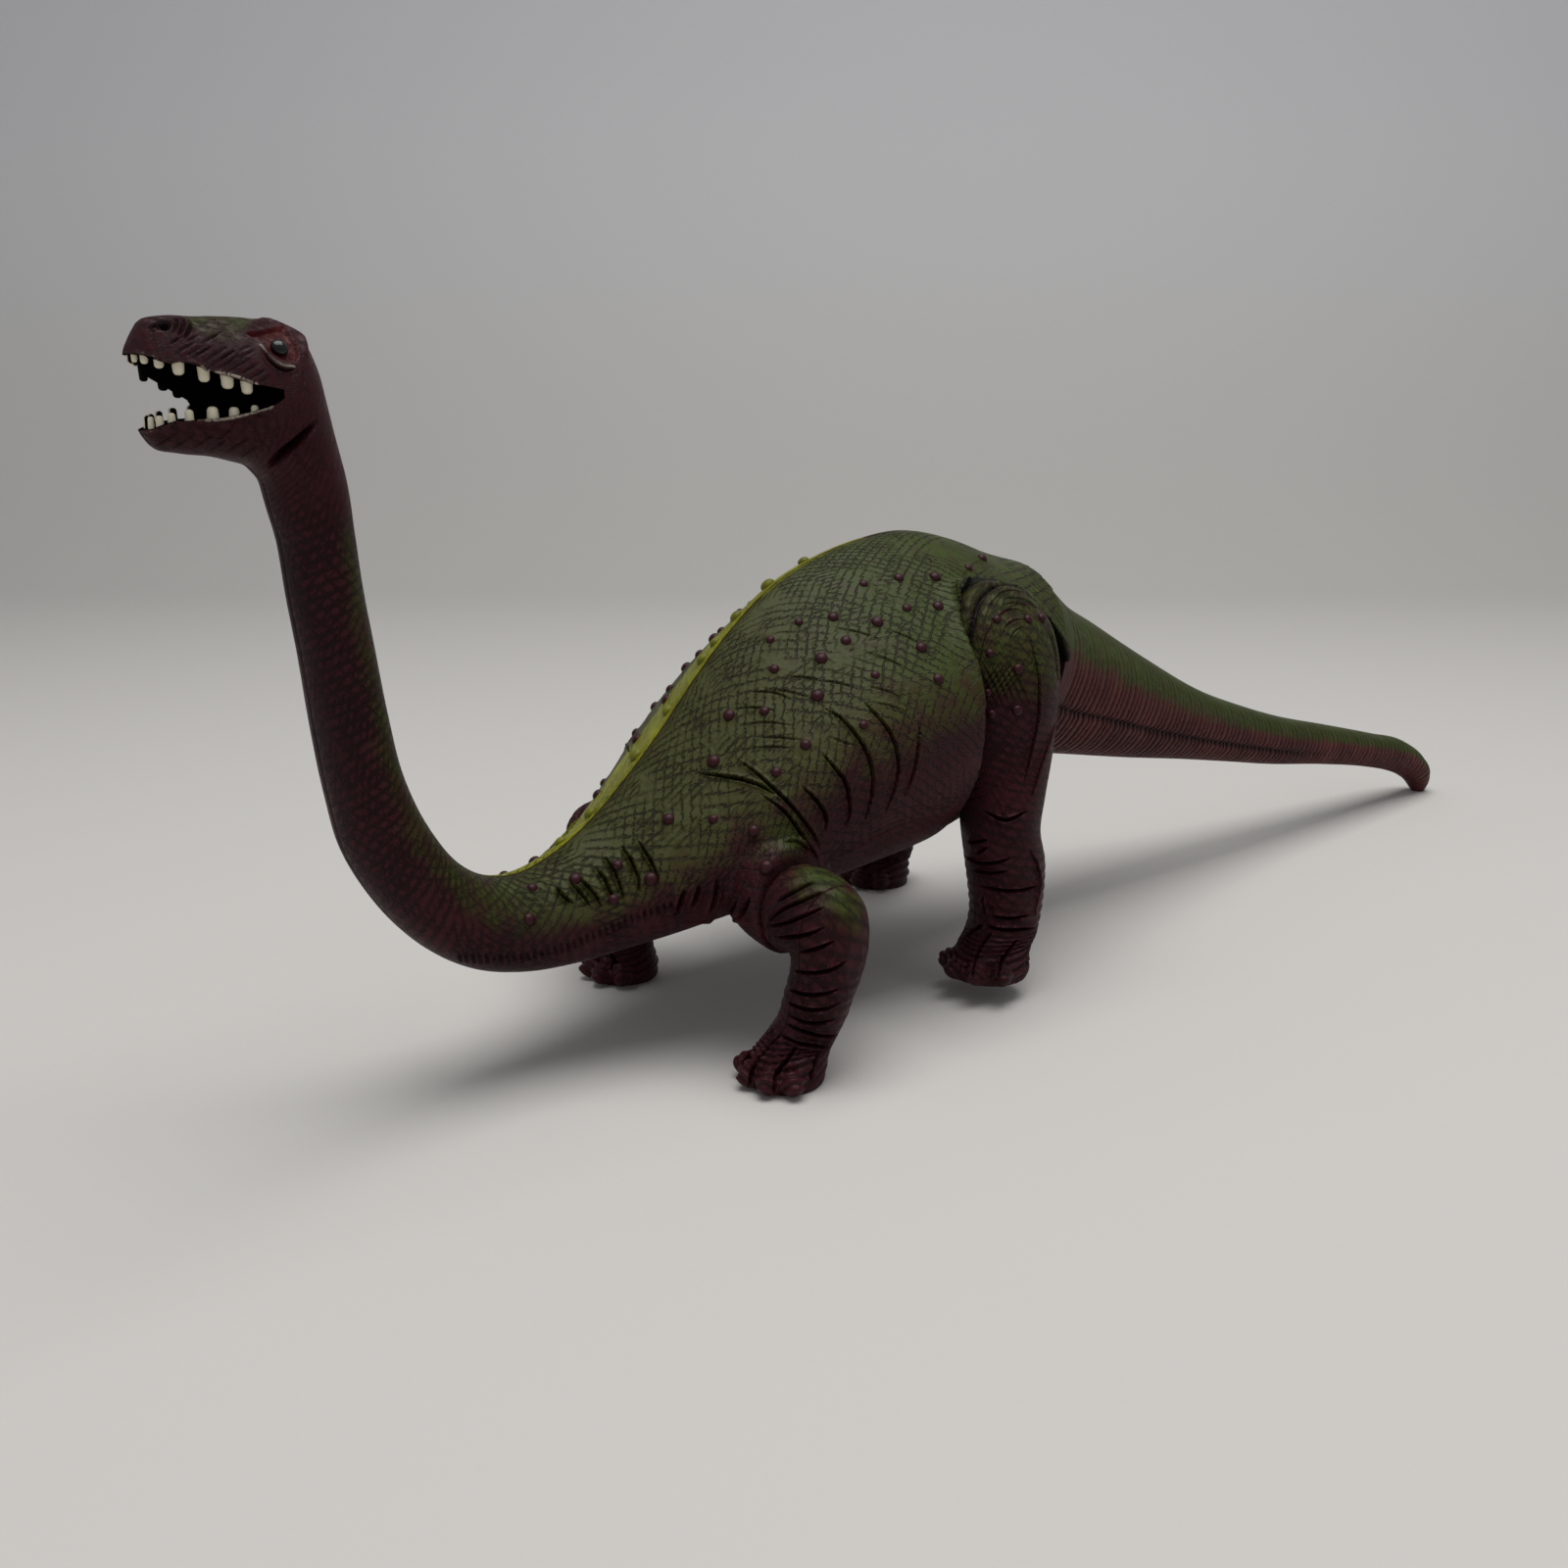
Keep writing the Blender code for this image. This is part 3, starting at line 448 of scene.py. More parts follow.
thigh_seam = ((981, 700), (985, 668), (991, 640), (996, 620), (1003, 605), (1012, 597),
              (1024, 594), (1036, 597), (1048, 605), (1060, 617), (1070, 640), (1077, 664),
              (1080, 690))
thigh_arcs = (
    ((1004, 640), (1012, 616), (1026, 603), (1038, 603), (1050, 607), (1058, 615), (1064, 626)),
    ((1024, 611), (1034, 610), (1046, 612), (1056, 619), (1063, 632)),
    ((1022, 618), (1034, 615), (1046, 618), (1056, 626)),
    ((1018, 634), (1026, 624), (1038, 622), (1050, 627)),
    ((1024, 648), (1028, 638), (1036, 633), (1046, 632)),
    ((1030, 656), (1036, 644), (1044, 640)),
)
thigh_hatch = tuple(((1002 + 7 * step, 676), (1014 + 7 * step, 700),
                     (1024 + 7 * step, 722)) for step in range(-1, 5)) + tuple(
    ((1040 + 6 * step, 676), (1024 + 6 * step, 696),
     (1008 + 6 * step, 716)) for step in range(-3, 3))
thigh_bars = tuple(((969 + step, 748 + 9 * step), (980 + step, 744 + 9 * step),
                    (997 + step, 740 + 9 * step))
                   for step in range(9))
hind_toe_lines = (
    ((1002, 944), (991, 952), (982, 961), (976, 976)),
    ((1011, 952), (1002, 964), (996, 977), (991, 997)),
    ((1037, 960), (1028, 972), (1022, 981), (1018, 996)),
    ((1056, 962), (1050, 978), (1044, 992)),
)
# Face
eye_spot = (286, 353)
eye_radius = 0.00125
eye_almond = ((250, 340), (260, 338), (269, 336), (282, 333), (290, 334), (297, 341), (304, 352),
              (306, 363), (303, 369), (296, 370), (287, 367), (277, 360), (272, 353), (269, 349),
              (264, 347), (257, 344))
brow_line = ((248, 337), (256, 332), (266, 329), (278, 327), (291, 328), (302, 337), (310, 351),
             (313, 366))
lid_line = ((266, 352), (272, 361), (280, 369), (290, 374), (300, 374))
lid_crease = ((269, 360), (274, 367), (281, 373), (291, 378), (302, 376))
nostril_spot = (167, 332)
nostril_wrinkles = (
    ((176, 320), (180, 330), (176, 342)),
    ((182, 320), (187, 331), (182, 344)),
    ((189, 322), (194, 333), (188, 346)),
    ((152, 337), (160, 333), (161, 338)),
)
face_scratches = tuple(
    ((x, y), (x + reach * 0.5, y - reach * 0.33), (x + reach, y - reach * 0.62))
    for x, y, reach in (
        (178, 362, 22), (186, 366, 26), (196, 366, 22), (205, 371, 30), (214, 374, 26),
        (222, 377, 30), (232, 380, 24), (236, 372, 26), (246, 382, 20), (204, 352, 20),
        (214, 346, 18), (190, 350, 16), (172, 352, 14), (254, 388, 18), (262, 392, 16),
        (240, 362, 18), (226, 366, 16), (160, 455, 24), (176, 458, 28), (196, 458, 30),
        (214, 460, 24), (230, 462, 26), (246, 466, 24), (222, 448, 20)))
head_green = ((189, 316), (190, 332), (200, 341), (216, 346), (232, 352), (246, 350), (250, 338),
              (262, 328), (262, 316))
pale_lips = (
    ((204, 372), (213, 378), (229, 381), (244, 385), (260, 391), (274, 396), (284, 403)),
    ((285, 406), (279, 414), (263, 420), (244, 425), (227, 428), (210, 429)),
)
upper_lip = ((127, 364), (138, 360), (152, 362), (163, 367), (176, 371), (188, 369), (204, 372),
             (213, 378), (229, 381), (244, 385), (260, 391), (274, 396), (284, 403))
lower_lip = ((285, 406), (279, 414), (263, 420), (244, 425), (227, 428), (210, 429), (194, 429),
             (182, 430), (166, 437), (149, 441))
# Teeth of the near side: middle of the crown, width and height in pixels
upper_teeth = (
    (137, 366, 7, 7), (147, 367, 9, 8), (162, 370, 11, 11), (182, 377, 13, 11), (208, 383, 13, 13),
    (232, 390, 14, 13), (252, 396, 13, 12),
)
lower_teeth = (
    (154, 430, 7, 9), (163, 429, 9, 9), (175, 426, 9, 9), (193, 422, 10, 8), (217, 420, 13, 10),
    (239, 420, 12, 9), (260, 417, 9, 7),
)
# Teeth of the far side that show as black pegs under the palate
palate_teeth = ((146, 382, 10, 14), (166, 391, 12, 15), (181, 399, 12, 14), (196, 406, 12, 12))


def srgb(red, green, blue):
    """A paint named by its display values, as the linear colour that a shader takes."""
    def channel(value):
        value /= 255
        return value / 12.92 if value <= 0.04045 else ((value + 0.055) / 1.055) ** 2.4
    return (channel(red), channel(green), channel(blue), 1)


maroon = srgb(66, 20, 27)
maroon_dark = srgb(36, 12, 15)
tail_maroon = srgb(104, 50, 48)
ash = srgb(82, 68, 46)
green = srgb(57, 55, 24)
green_bright = srgb(50, 68, 16)
yellow = srgb(126, 128, 20)
pale = srgb(164, 154, 138)
eye_red = srgb(66, 3, 2)
wart_maroon = srgb(58, 16, 26)
wart_olive = srgb(60, 60, 22)
# Black of the mouth's paint, also used on the skins for painted shade in recesses and nostrils
mouth_black = srgb(6, 5, 5)
maroon_black = srgb(20, 9, 9)
tooth_cream = srgb(232, 224, 200)
tooth_shade = srgb(206, 196, 168)
tooth_black = srgb(12, 9, 9)
palate_black = srgb(9, 6, 6)
eye_black = srgb(10, 9, 10)
eye_brown = srgb(18, 14, 14)
nylon_pale = srgb(222, 218, 206)
nylon_shade = srgb(205, 200, 186)
steel_pale = srgb(170, 172, 176)
steel_shade = srgb(140, 142, 146)
paper_low = srgb(196, 193, 188)
paper_high = srgb(218, 218, 220)


# Camera

def add_camera():
    data = bpy.data.cameras.new("photo_camera")
    data.lens = lens_length
    data.sensor_width = sensor_width
    camera = bpy.data.objects.new("photo_camera", data)
    bpy.context.scene.collection.objects.link(camera)
    camera.location = camera_place
    camera.rotation_euler = camera_turn
    bpy.context.scene.camera = camera


def photo_ray(spot):
    """Direction from the camera through a pixel of the photograph."""
    turn = camera_turn.to_matrix()
    focal = lens_length / sensor_width * photo_pixels
    ahead = Vector(((spot[0] - photo_centre) / focal, (photo_centre - spot[1]) / focal, -1))
    return (turn @ ahead).normalized()


def cast(tree, spot):
    """The point and the normal of a skin where a pixel of the photograph shows it."""
    point, normal, _face, _distance = tree.ray_cast(camera_place, photo_ray(spot))
    return (np.array(point), np.array(normal)) if point is not None else None


def photo_spots(points):
    """Where points of the figure lie in the photograph."""
    seen = (points - np.array(camera_place)) @ np.array(camera_turn.to_matrix())
    focal = lens_length / sensor_width * photo_pixels
    return np.stack([photo_centre - focal * seen[:, 0] / seen[:, 2],
                     photo_centre + focal * seen[:, 1] / seen[:, 2]], -1)


def outline_depth(spots, outline):
    """How many pixels a spot lies inside an outline; negative outside."""
    outline = np.array(outline, float)
    inside = np.zeros(len(spots), bool)
    least = np.full(len(spots), np.inf)
    for start, end in zip(outline, np.roll(outline, -1, axis=0)):
        run = end - start
        part = np.clip((spots - start) @ run / (run @ run), 0, 1)
        least = np.minimum(least, np.linalg.norm(spots - start - part[:, None] * run, axis=1))
        spans = (start[1] > spots[:, 1]) != (end[1] > spots[:, 1])
        if start[1] != end[1]:
            crossing = start[0] + (spots[:, 1] - start[1]) * run[0] / run[1]
            inside ^= spans & (spots[:, 0] < crossing)
    return np.where(inside, least, -least)


# Mesh helpers

def select_only(thing):
    bpy.ops.object.select_all(action="DESELECT")
    thing.select_set(True)
    bpy.context.view_layer.objects.active = thing


def new_piece(name, points, faces):
    mesh = bpy.data.meshes.new(name)
    mesh.from_pydata([tuple(point) for point in points], [], faces)
    mesh.update()
    thing = bpy.data.objects.new(name, mesh)
    bpy.context.scene.collection.objects.link(thing)
    return thing


def grid_faces(rows, count, closed_ends=True):
    """Faces of a tube of rings, with the ends closed."""
    here = np.arange(rows - 1)[:, None] * count + np.arange(count)[None, :]
    beside = np.arange(rows - 1)[:, None] * count + (np.arange(count)[None, :] + 1) % count
    quads = np.stack([here, beside, beside + count, here + count], -1).reshape(-1, 4)
    faces = [tuple(int(corner) for corner in quad) for quad in quads]
    if closed_ends:
        faces.append(tuple(range(count))[::-1])
        faces.append(tuple(range((rows - 1) * count, rows * count)))
    return faces


def tube(name, rings):
    """A closed tube of rings whose faces point out."""
    rows, count = rings.shape[:2]
    thing = new_piece(name, rings.reshape(-1, 3), grid_faces(rows, count))
    select_only(thing)
    bpy.ops.object.mode_set(mode="EDIT")
    bpy.ops.mesh.select_all(action="SELECT")
    bpy.ops.mesh.normals_make_consistent(inside=False)
    bpy.ops.object.mode_set(mode="OBJECT")
    return thing


def combine(thing, tool, operation, solver="EXACT"):
    """Boolean with a tool that is used up."""
    select_only(thing)
    change = thing.modifiers.new("combine", "BOOLEAN")
    change.operation = operation
    change.solver = solver
    change.object = tool
    bpy.ops.object.modifier_apply(modifier=change.name)
    bpy.data.objects.remove(tool, do_unlink=True)


def voxel_skin(thing, size, smoothings):
    """Fuse everything in a piece into one even skin, then soften it."""
    select_only(thing)
    change = thing.modifiers.new("skin", "REMESH")
    change.mode = "VOXEL"
    change.voxel_size = size
    bpy.ops.object.modifier_apply(modifier=change.name)
    soften(thing, smoothings)


def soften(thing, times):
    change = thing.modifiers.new("soften", "SMOOTH")
    change.factor = 0.5
    change.iterations = times
    bpy.ops.object.modifier_apply(modifier=change.name)


def join(things):
    select_only(things[0])
    for thing in things[1:]:
        thing.select_set(True)
    bpy.ops.object.join()
    return things[0]


def cut_away(thing, place, normal):
    """Remove what lies on the normal's side of a plane, and close the cut."""
    normal = Vector(normal).normalized()
    bpy.ops.mesh.primitive_cube_add(size=2 * figure_length,
                                    location=Vector(place) - normal * figure_length,
                                    rotation=normal.to_track_quat("Z", "Y").to_euler())
    box = bpy.context.object
    bpy.ops.object.transform_apply(location=True, rotation=True, scale=True)
    combine(thing, box, "INTERSECT", "MANIFOLD")


def copy_of(thing, name):
    twin = thing.copy()
    twin.data = thing.data.copy()
    twin.name = name
    bpy.context.scene.collection.objects.link(twin)
    return twin


def drop(thing):
    bpy.data.objects.remove(thing, do_unlink=True)


def smooth_shading(thing, degrees):
    select_only(thing)
    bpy.ops.object.shade_smooth_by_angle(angle=math.radians(degrees))


# Sections

def read_smoothly(rows, knots, places):
    """Values of a smooth curve through rows at knots, read at the given places."""
    slopes = np.gradient(rows, knots, axis=0)
    index = np.clip(np.searchsorted(knots, places, side="right") - 1, 0, len(knots) - 2)
    width = (knots[index + 1] - knots[index])[:, None]
    part = ((places - knots[index]) / width[:, 0])[:, None]
    start = (1 + 2 * part) * (1 - part) ** 2
    start_slope = part * (1 - part) ** 2 * width
    end = part ** 2 * (3 - 2 * part)
    end_slope = part ** 2 * (part - 1) * width
    return (start * rows[index] + start_slope * slopes[index]
            + end * rows[index + 1] + end_slope * slopes[index + 1])


def resample(rows, middles, step):
    """Rows every step along the line through their middles, and their places along it."""
    gaps = np.linalg.norm(np.diff(middles, axis=0), axis=1)
    knots = np.concatenate(([0], np.cumsum(gaps)))
    places = np.linspace(0, knots[-1], int(knots[-1] / step) + 1)
    return read_smoothly(rows, knots, places), places


def side_rows(shares):
    """Section shares as metres, in the figure's own frame."""
    rows = np.array(shares, float)
    rows[:, 0] *= figure_length
    rows[:, 1] *= figure_height
    rows[:, 2] *= figure_length
    rows[:, 3] *= figure_height
    rows[:, 4] *= body_width
    return rows


def tail_ring_row(shift, radius):
    centre = tail_ring_centre + tail_axis * shift
    top = centre + tail_up * radius
    bottom = centre - tail_up * radius
    return [top[0], top[2], bottom[0], bottom[2], radius]


def side_rings(rows, turns):
    """Rings in space of rows seen from the side. A turn is measured from the top."""
    top = np.stack([rows[:, 0], np.full(len(rows), -stance_offset), rows[:, 1]], -1)
    bottom = np.stack([rows[:, 2], np.full(len(rows), -stance_offset), rows[:, 3]], -1)
    centre = (top + bottom) / 2
    up = (top - bottom) / 2
    rise = np.cos(turns)[None, :]
    across = np.sin(turns)[None, :] * (1 - rows[:, 5:6] * rise)
    across = across * (1 - rows[:, 6:7] * np.maximum(rise, 0) ** 2) * rows[:, 4:5]
    rings = centre[:, None, :] + up[:, None, :] * rise[:, :, None]
    rings[:, :, 1] += across
    return rings


def full_turns(count):
    return 2 * math.pi * np.arange(count) / count


def leg_progress(height):
    return min(1.0, max(0.0, (1 - height) / (1 - foot_top_share))) ** step_curve


def arm_rings(shares, side, stride, splay, count, step):
    """Rings of a foreleg or a shoulder muscle, upright at the joint and level lower down."""
    rows = []
    for out, ahead, height, half_x, half_other, turn in shares:
        progress = leg_progress(height)
        rows.append((shoulder_x + arm_radius * ahead + stride * progress,
                     body_width * out + splay * progress, shoulder_height * height,
                     arm_radius * half_x, arm_radius * half_other, math.radians(turn)))
    rows = np.array(rows)
    rows, places = resample(rows, rows[:, :3], step)
    turns = full_turns(count)
    centre = np.stack([rows[:, 0], side * rows[:, 1] - stance_offset, rows[:, 2]], -1)
    other = np.stack([0 * rows[:, 5], side * np.sin(rows[:, 5]), np.cos(rows[:, 5])], -1)
    first = np.zeros_like(centre)
    first[:, 0] = -rows[:, 3]
    rings = (centre[:, None, :] + first[:, None, :] * np.cos(turns)[None, :, None]
             + (other * rows[:, 4:5])[:, None, :] * np.sin(turns)[None, :, None])
    return rings, places, rows


def hind_leg_rings(side, stride, splay, lift, count, step):
    rows = []
    for rise, thick in thigh_dome_shares:
        half_x = thigh_radius * math.sqrt(1 - rise ** 2)
        rows.append((hip_x, body_width * thigh_dome_side_share, hip_height + thigh_radius * rise,
                     half_x, max(thigh_radius * thick, half_x / 4)))
    for height, ahead, out, half_x, half_y in hind_section_shares:
        progress = leg_progress(height)
        rows.append((hip_x + thigh_radius * ahead + stride * progress,
                     body_width * out + splay * progress, lift + (hip_height - lift) * height,
                     thigh_radius * half_x, thigh_radius * half_y))
    rows = np.array(rows)
    rows, places = resample(rows, rows[:, :3], step)
    turns = full_turns(count)
    centre = np.stack([rows[:, 0], side * rows[:, 1] - stance_offset, rows[:, 2]], -1)
    rings = np.repeat(centre[:, None, :], count, axis=1)
    rings[:, :, 0] -= rows[:, 3:4] * np.cos(turns)[None, :]
    rings[:, :, 1] += side * rows[:, 4:5] * np.sin(turns)[None, :]
    return rings, places, rows


def part_of_edge(reach, edge):
    """How far along an edge each reach goes, from 0 to 1."""
    share = np.einsum("ij,ij->i", reach, edge)
    return np.clip(share / np.maximum(np.einsum("ij,ij->i", edge, edge), 1e-12), 0, 1)


class Chart:
    """Where on a plain tube a point lies: its place along the tube and its turn round it."""

    def __init__(self, rings, places, turns, girths):
        self.rings = rings
        self.places = places
        self.turns = turns
        self.girths = girths
        rows, count = rings.shape[:2]
        self.count = count
        faces = grid_faces(rows, count, closed_ends=False)
        self.tree = BVHTree.FromPolygons([tuple(p) for p in rings.reshape(-1, 3)], faces)

    def read(self, points):
        """Place along, turn round and girth radius of each point."""
        found = [self.tree.find_nearest(Vector(point)) for point in points]
        near = np.array([hit[0] for hit in found])
        face = np.array([hit[2] for hit in found])
        row = face // self.count
        column = face % self.count
        corner = self.rings[row, column]
        along_edge = self.rings[row + 1, column] - corner
        round_edge = self.rings[row, (column + 1) % self.count] - corner
        along = part_of_edge(near - corner, along_edge)
        around = part_of_edge(near - corner, round_edge)
        places = self.places[row] + along * (self.places[row + 1] - self.places[row])
        turns = (column + around) * 2 * math.pi / self.count
        girths = self.girths[row] + along * (self.girths[row + 1] - self.girths[row])
        return places, turns, girths


# Sculpting

def inner_box():
    """The two corners of the figure's own box, a hair inside it."""
    return np.array(cad_box[0]) + box_margin, np.array(cad_box[1]) - box_margin


def line_distance(points, line, reach):
    """Points near a line, their distances from it and how far along it they lie."""
    close = (points > line.min(0) - reach) & (points < line.max(0) + reach)
    chosen = np.flatnonzero(close.all(1))
    near = points[chosen]
    least = np.full(len(chosen), np.inf)
    share = np.zeros(len(chosen))
    spans = np.linalg.norm(np.diff(line, axis=0), axis=1)
    passed = np.concatenate(([0], np.cumsum(spans)))
    for start, end, before, span in zip(line[:-1], line[1:], passed[:-1], spans):
        run = end - start
        part = np.clip((near - start) @ run / max(run @ run, 1e-14), 0, 1)
        gap = np.linalg.norm(near - start - part[:, None] * run, axis=1)
        share = np.where(gap < least, (before + part * span) / max(passed[-1], 1e-9), share)
        least = np.minimum(least, gap)
    return chosen, least, share


paint_layers = ("green", "ash", "yellow", "pale", "red", "black", "crease", "rings", "first_hatch",
                "second_hatch")


class Skin:
    """The points of a piece while folds, warts and paint are worked into it."""

    def __init__(self, thing):
        self.thing = thing
        mesh = thing.data
        count = len(mesh.vertices)
        points = np.empty(count * 3)
        mesh.vertices.foreach_get("co", points)
        self.points = points.reshape(-1, 3)
        normals = np.empty(count * 3)
        mesh.vertex_normals.foreach_get("vector", normals)
        self.normals = normals.reshape(-1, 3)
        self.lift = np.zeros(count)
        self.paint = {name: np.zeros(count) for name in paint_layers}

    def groove(self, line, depth, width, lip=0.3, ends=1.0, painted_shade=1.0):
        """A crease with soft raised edges and painted shade in it, that tapers towards its ends."""
        chosen, gap, share = line_distance(self.points, line, 4 * width)
        swell = np.clip(np.sin(math.pi * share), 0.02, 1) ** (0.6 * ends)
        wide = width * (0.45 + 0.55 * swell)
        deep = np.exp(-(gap / wide) ** 2) * swell
        self.lift[chosen] -= depth * deep
        self.lift[chosen] += depth * lip * np.exp(-((gap - 2 * wide) / wide) ** 2) * swell
        # Painted shade along the groove, kept in the crease layer
        crease = self.paint["crease"]
        crease[chosen] = np.maximum(crease[chosen], painted_shade * deep)

    def grooves(self, lines, cut):
        for line in lines:
            self.groove(line, **cut)

    def ridge(self, line, height, width):
        chosen, gap, share = line_distance(self.points, line, 4 * width)
        swell = np.clip(np.sin(math.pi * share), 0.02, 1) ** 0.5
        self.lift[chosen] += height * swell * np.exp(-(gap / width) ** 2)

    def mound(self, centre, height, radius):
        gap = np.linalg.norm(self.points - centre, axis=1)
        self.lift += height * np.exp(-(gap / radius) ** 2)

    def spray(self, name, centre, radius, amount=1.0):
        gap = np.linalg.norm(self.points - centre, axis=1)
        self.paint[name] = np.maximum(self.paint[name], amount * np.exp(-(gap / radius) ** 2))

    def brush(self, name, line, width, amount=1.0):
        chosen, gap, _share = line_distance(self.points, line, 4 * width)
        layer = self.paint[name]
        layer[chosen] = np.maximum(layer[chosen], amount * np.exp(-(gap / width) ** 2))

    def settle(self):
        """Move the points by the sculpted lift and store the paint on the piece."""
        self.points += self.normals * self.lift[:, None]
        self.points = np.clip(self.points, *inner_box())
        mesh = self.thing.data
        mesh.vertices.foreach_set("co", self.points.ravel())
        mesh.update()
        for name, layer in self.paint.items():
            attribute = mesh.attributes.new(name, "FLOAT", "POINT")
            attribute.data.foreach_set("value", layer.astype(np.float32))

    def store_vector(self, name, values):
        attribute = self.thing.data.attributes.new(name, "FLOAT_VECTOR", "POINT")
        attribute.data.foreach_set("vector", values.astype(np.float32).ravel())


def smooth_path(spots, step=3.0):
    """Dense spots along a smooth curve through given spots."""
    spots = np.array(spots, float)
    if len(spots) < 3:
        return spots
    path, _places = resample(spots, spots, step)
    return path


def cast_all(tree, spots):
    """Where pixels of the photograph meet a skin, without those that miss it."""
    hits = [cast(tree, spot) for spot in spots]
    return [hit for hit in hits if hit is not None]


def cast_paths(tree, lines):
    """Lines of the photograph on the near skin, without those that miss it."""
    paths = [np.array([hit[0] for hit in cast_all(tree, smooth_path(line))]) for line in lines]
    return [path for path in paths if len(path) > 1]


def mirrored(line):
    twin = np.array(line, float)
    twin[..., 1] = -2 * stance_offset - twin[..., 1]
    return twin


def both(line):
    return (line, mirrored(line))


def on_both_sides(tree, folds):
    """Lines of the photograph on the near side, and their mirror images."""
    return [line for path in cast_paths(tree, folds) for line in both(path)]


def smooth_step(low, high, value):
    part = np.clip((value - low) / (high - low), 0, 1)
    return part * part * (3 - 2 * part)


# Torso, neck and head

def recess_outline(grow):
    radius = thigh_radius + swing_gap + grow
    points = []
    first_turn = math.pi - recess_front_slope
    steps = 40
    for step in range(steps + 1):
        turn = first_turn + (recess_rear_slope - first_turn) * step / steps
        points.append((hip_x + radius * math.cos(turn), hip_height + radius * math.sin(turn)))
    rear_x, rear_z = points[-1]
    front_x, front_z = points[0]
    points.append((rear_x + (rear_z + overrun) * math.tan(recess_rear_slope), -overrun))
    points.append((front_x - (front_z + overrun) * math.tan(recess_front_slope), -overrun))
    return points


def prism(name, outline, y_low, y_high):
    rings = np.array([[(x, y, z) for x, z in outline] for y in (y_low, y_high)])
    return tube(name, rings)


def mouth_outline():
    """The open mouth in the side view, forward along the upper lip and back along the lower one."""
    return [(mouth_corner_x - ahead, mouth_corner_z + rise)
            for ahead, rise in upper_lip_curve + lower_lip_curve[::-1]]


def mouth_web():
    """The wall that closes the mouth between its corners, drawn out under the palate."""
    reach = mouth_web_reach
    outline = ((mouth_corner_x + overrun, mouth_corner_z + web_overlap),
               (mouth_corner_x - palate_reach, mouth_corner_z + web_overlap
                + palate_reach * math.tan(mouth_upper_slope)),
               (mouth_corner_x - palate_reach, mouth_corner_z + palate_rise),
               (mouth_corner_x - reach, mouth_corner_z - web_drop),
               (mouth_corner_x - reach, mouth_corner_z - web_overlap
                - reach * math.tan(mouth_lower_slope)),
               (mouth_corner_x + overrun, mouth_corner_z - web_overlap))
    return prism("mouth_web", outline, -stance_offset - mouth_web_half,
                 -stance_offset + mouth_web_half)


def body_tube():
    rows = side_rows(body_section_shares)
    rows = np.vstack([rows, tail_ring_row(0, tail_ring_radius) + [0, 0]])
    middles = (rows[:, 0:2] + rows[:, 2:4]) / 2
    rows, places = resample(rows, middles, ring_step)
    count = 128
    rings = side_rings(rows, full_turns(count))
    heights = np.hypot(rows[:, 0] - rows[:, 2], rows[:, 1] - rows[:, 3]) / 2
    chart = Chart(rings, places, full_turns(count), (heights + rows[:, 4]) / 2)
    return tube("body_skin", rings), chart


def plain_body():
    """The body's plain form with its shoulders, hip recesses and open mouth."""
    body, chart = body_tube()
    for side in sides.values():
        floor = side * (hip_plane - fit_gap) - stance_offset
        outer = side * body_width - stance_offset
        recess = prism("recess", recess_outline(recess_ease), *sorted((floor, outer)))
        combine(body, recess, "DIFFERENCE")
    shoulders = []
    for side in sides.values():
        rings, _places, _rows = arm_rings(shoulder_section_shares, side, 0, 0, 64, ring_step)
        rings[-1, :, 1] = side * (shoulder_plane - fit_gap) - stance_offset
        shoulders.append(tube("shoulder", rings))
    body = join([body] + shoulders)
    voxel_skin(body, body_voxel, 4)
    combine(body, prism("mouth", mouth_outline(), -body_width, body_width), "DIFFERENCE",
            "MANIFOLD")
    combine(body, mouth_web(), "UNION", "MANIFOLD")
    tell_mouth(body)
    return body, chart


def face_centres(mesh):
    centres = np.empty(len(mesh.polygons) * 3)
    mesh.polygons.foreach_get("center", centres)
    return centres.reshape(-1, 3)


def tell_mouth(body):
    """Give the inside of the mouth the second material."""
    x, _y, z = face_centres(body.data).T
    ahead = mouth_corner_x - x + mouth_margin
    rise = z - mouth_corner_z
    upper = np.interp(ahead, *np.array(upper_lip_curve).T) + mouth_margin
    lower = np.interp(ahead, *np.array(lower_lip_curve).T) - mouth_margin
    inside = (ahead > 0) & (rise < upper) & (rise > lower)
    body.data.polygons.foreach_set("material_index", inside.astype(np.int32))


def refine(thing, chosen):
    """Halve the chosen faces."""
    mesh = thing.data
    select_only(thing)
    bpy.ops.object.mode_set(mode="EDIT")
    bpy.ops.mesh.select_mode(type="FACE")
    bpy.ops.mesh.select_all(action="DESELECT")
    bpy.ops.object.mode_set(mode="OBJECT")
    mesh.polygons.foreach_set("select", chosen)
    mesh.update()
    bpy.ops.object.mode_set(mode="EDIT")
    bpy.ops.mesh.subdivide(number_cuts=1, smoothness=0)
    bpy.ops.object.mode_set(mode="OBJECT")


def close_to(points, lines, reach):
    near = np.zeros(len(points), bool)
    for line in lines:
        chosen, gap, _share = line_distance(points, line, reach)
        near[chosen[gap < reach]] = True
    return near


def tree_of(thing):
    mesh = thing.data
    points = [vertex.co for vertex in mesh.vertices]
    faces = [tuple(face.vertices) for face in mesh.polygons]
    return BVHTree.FromPolygons(points, faces)


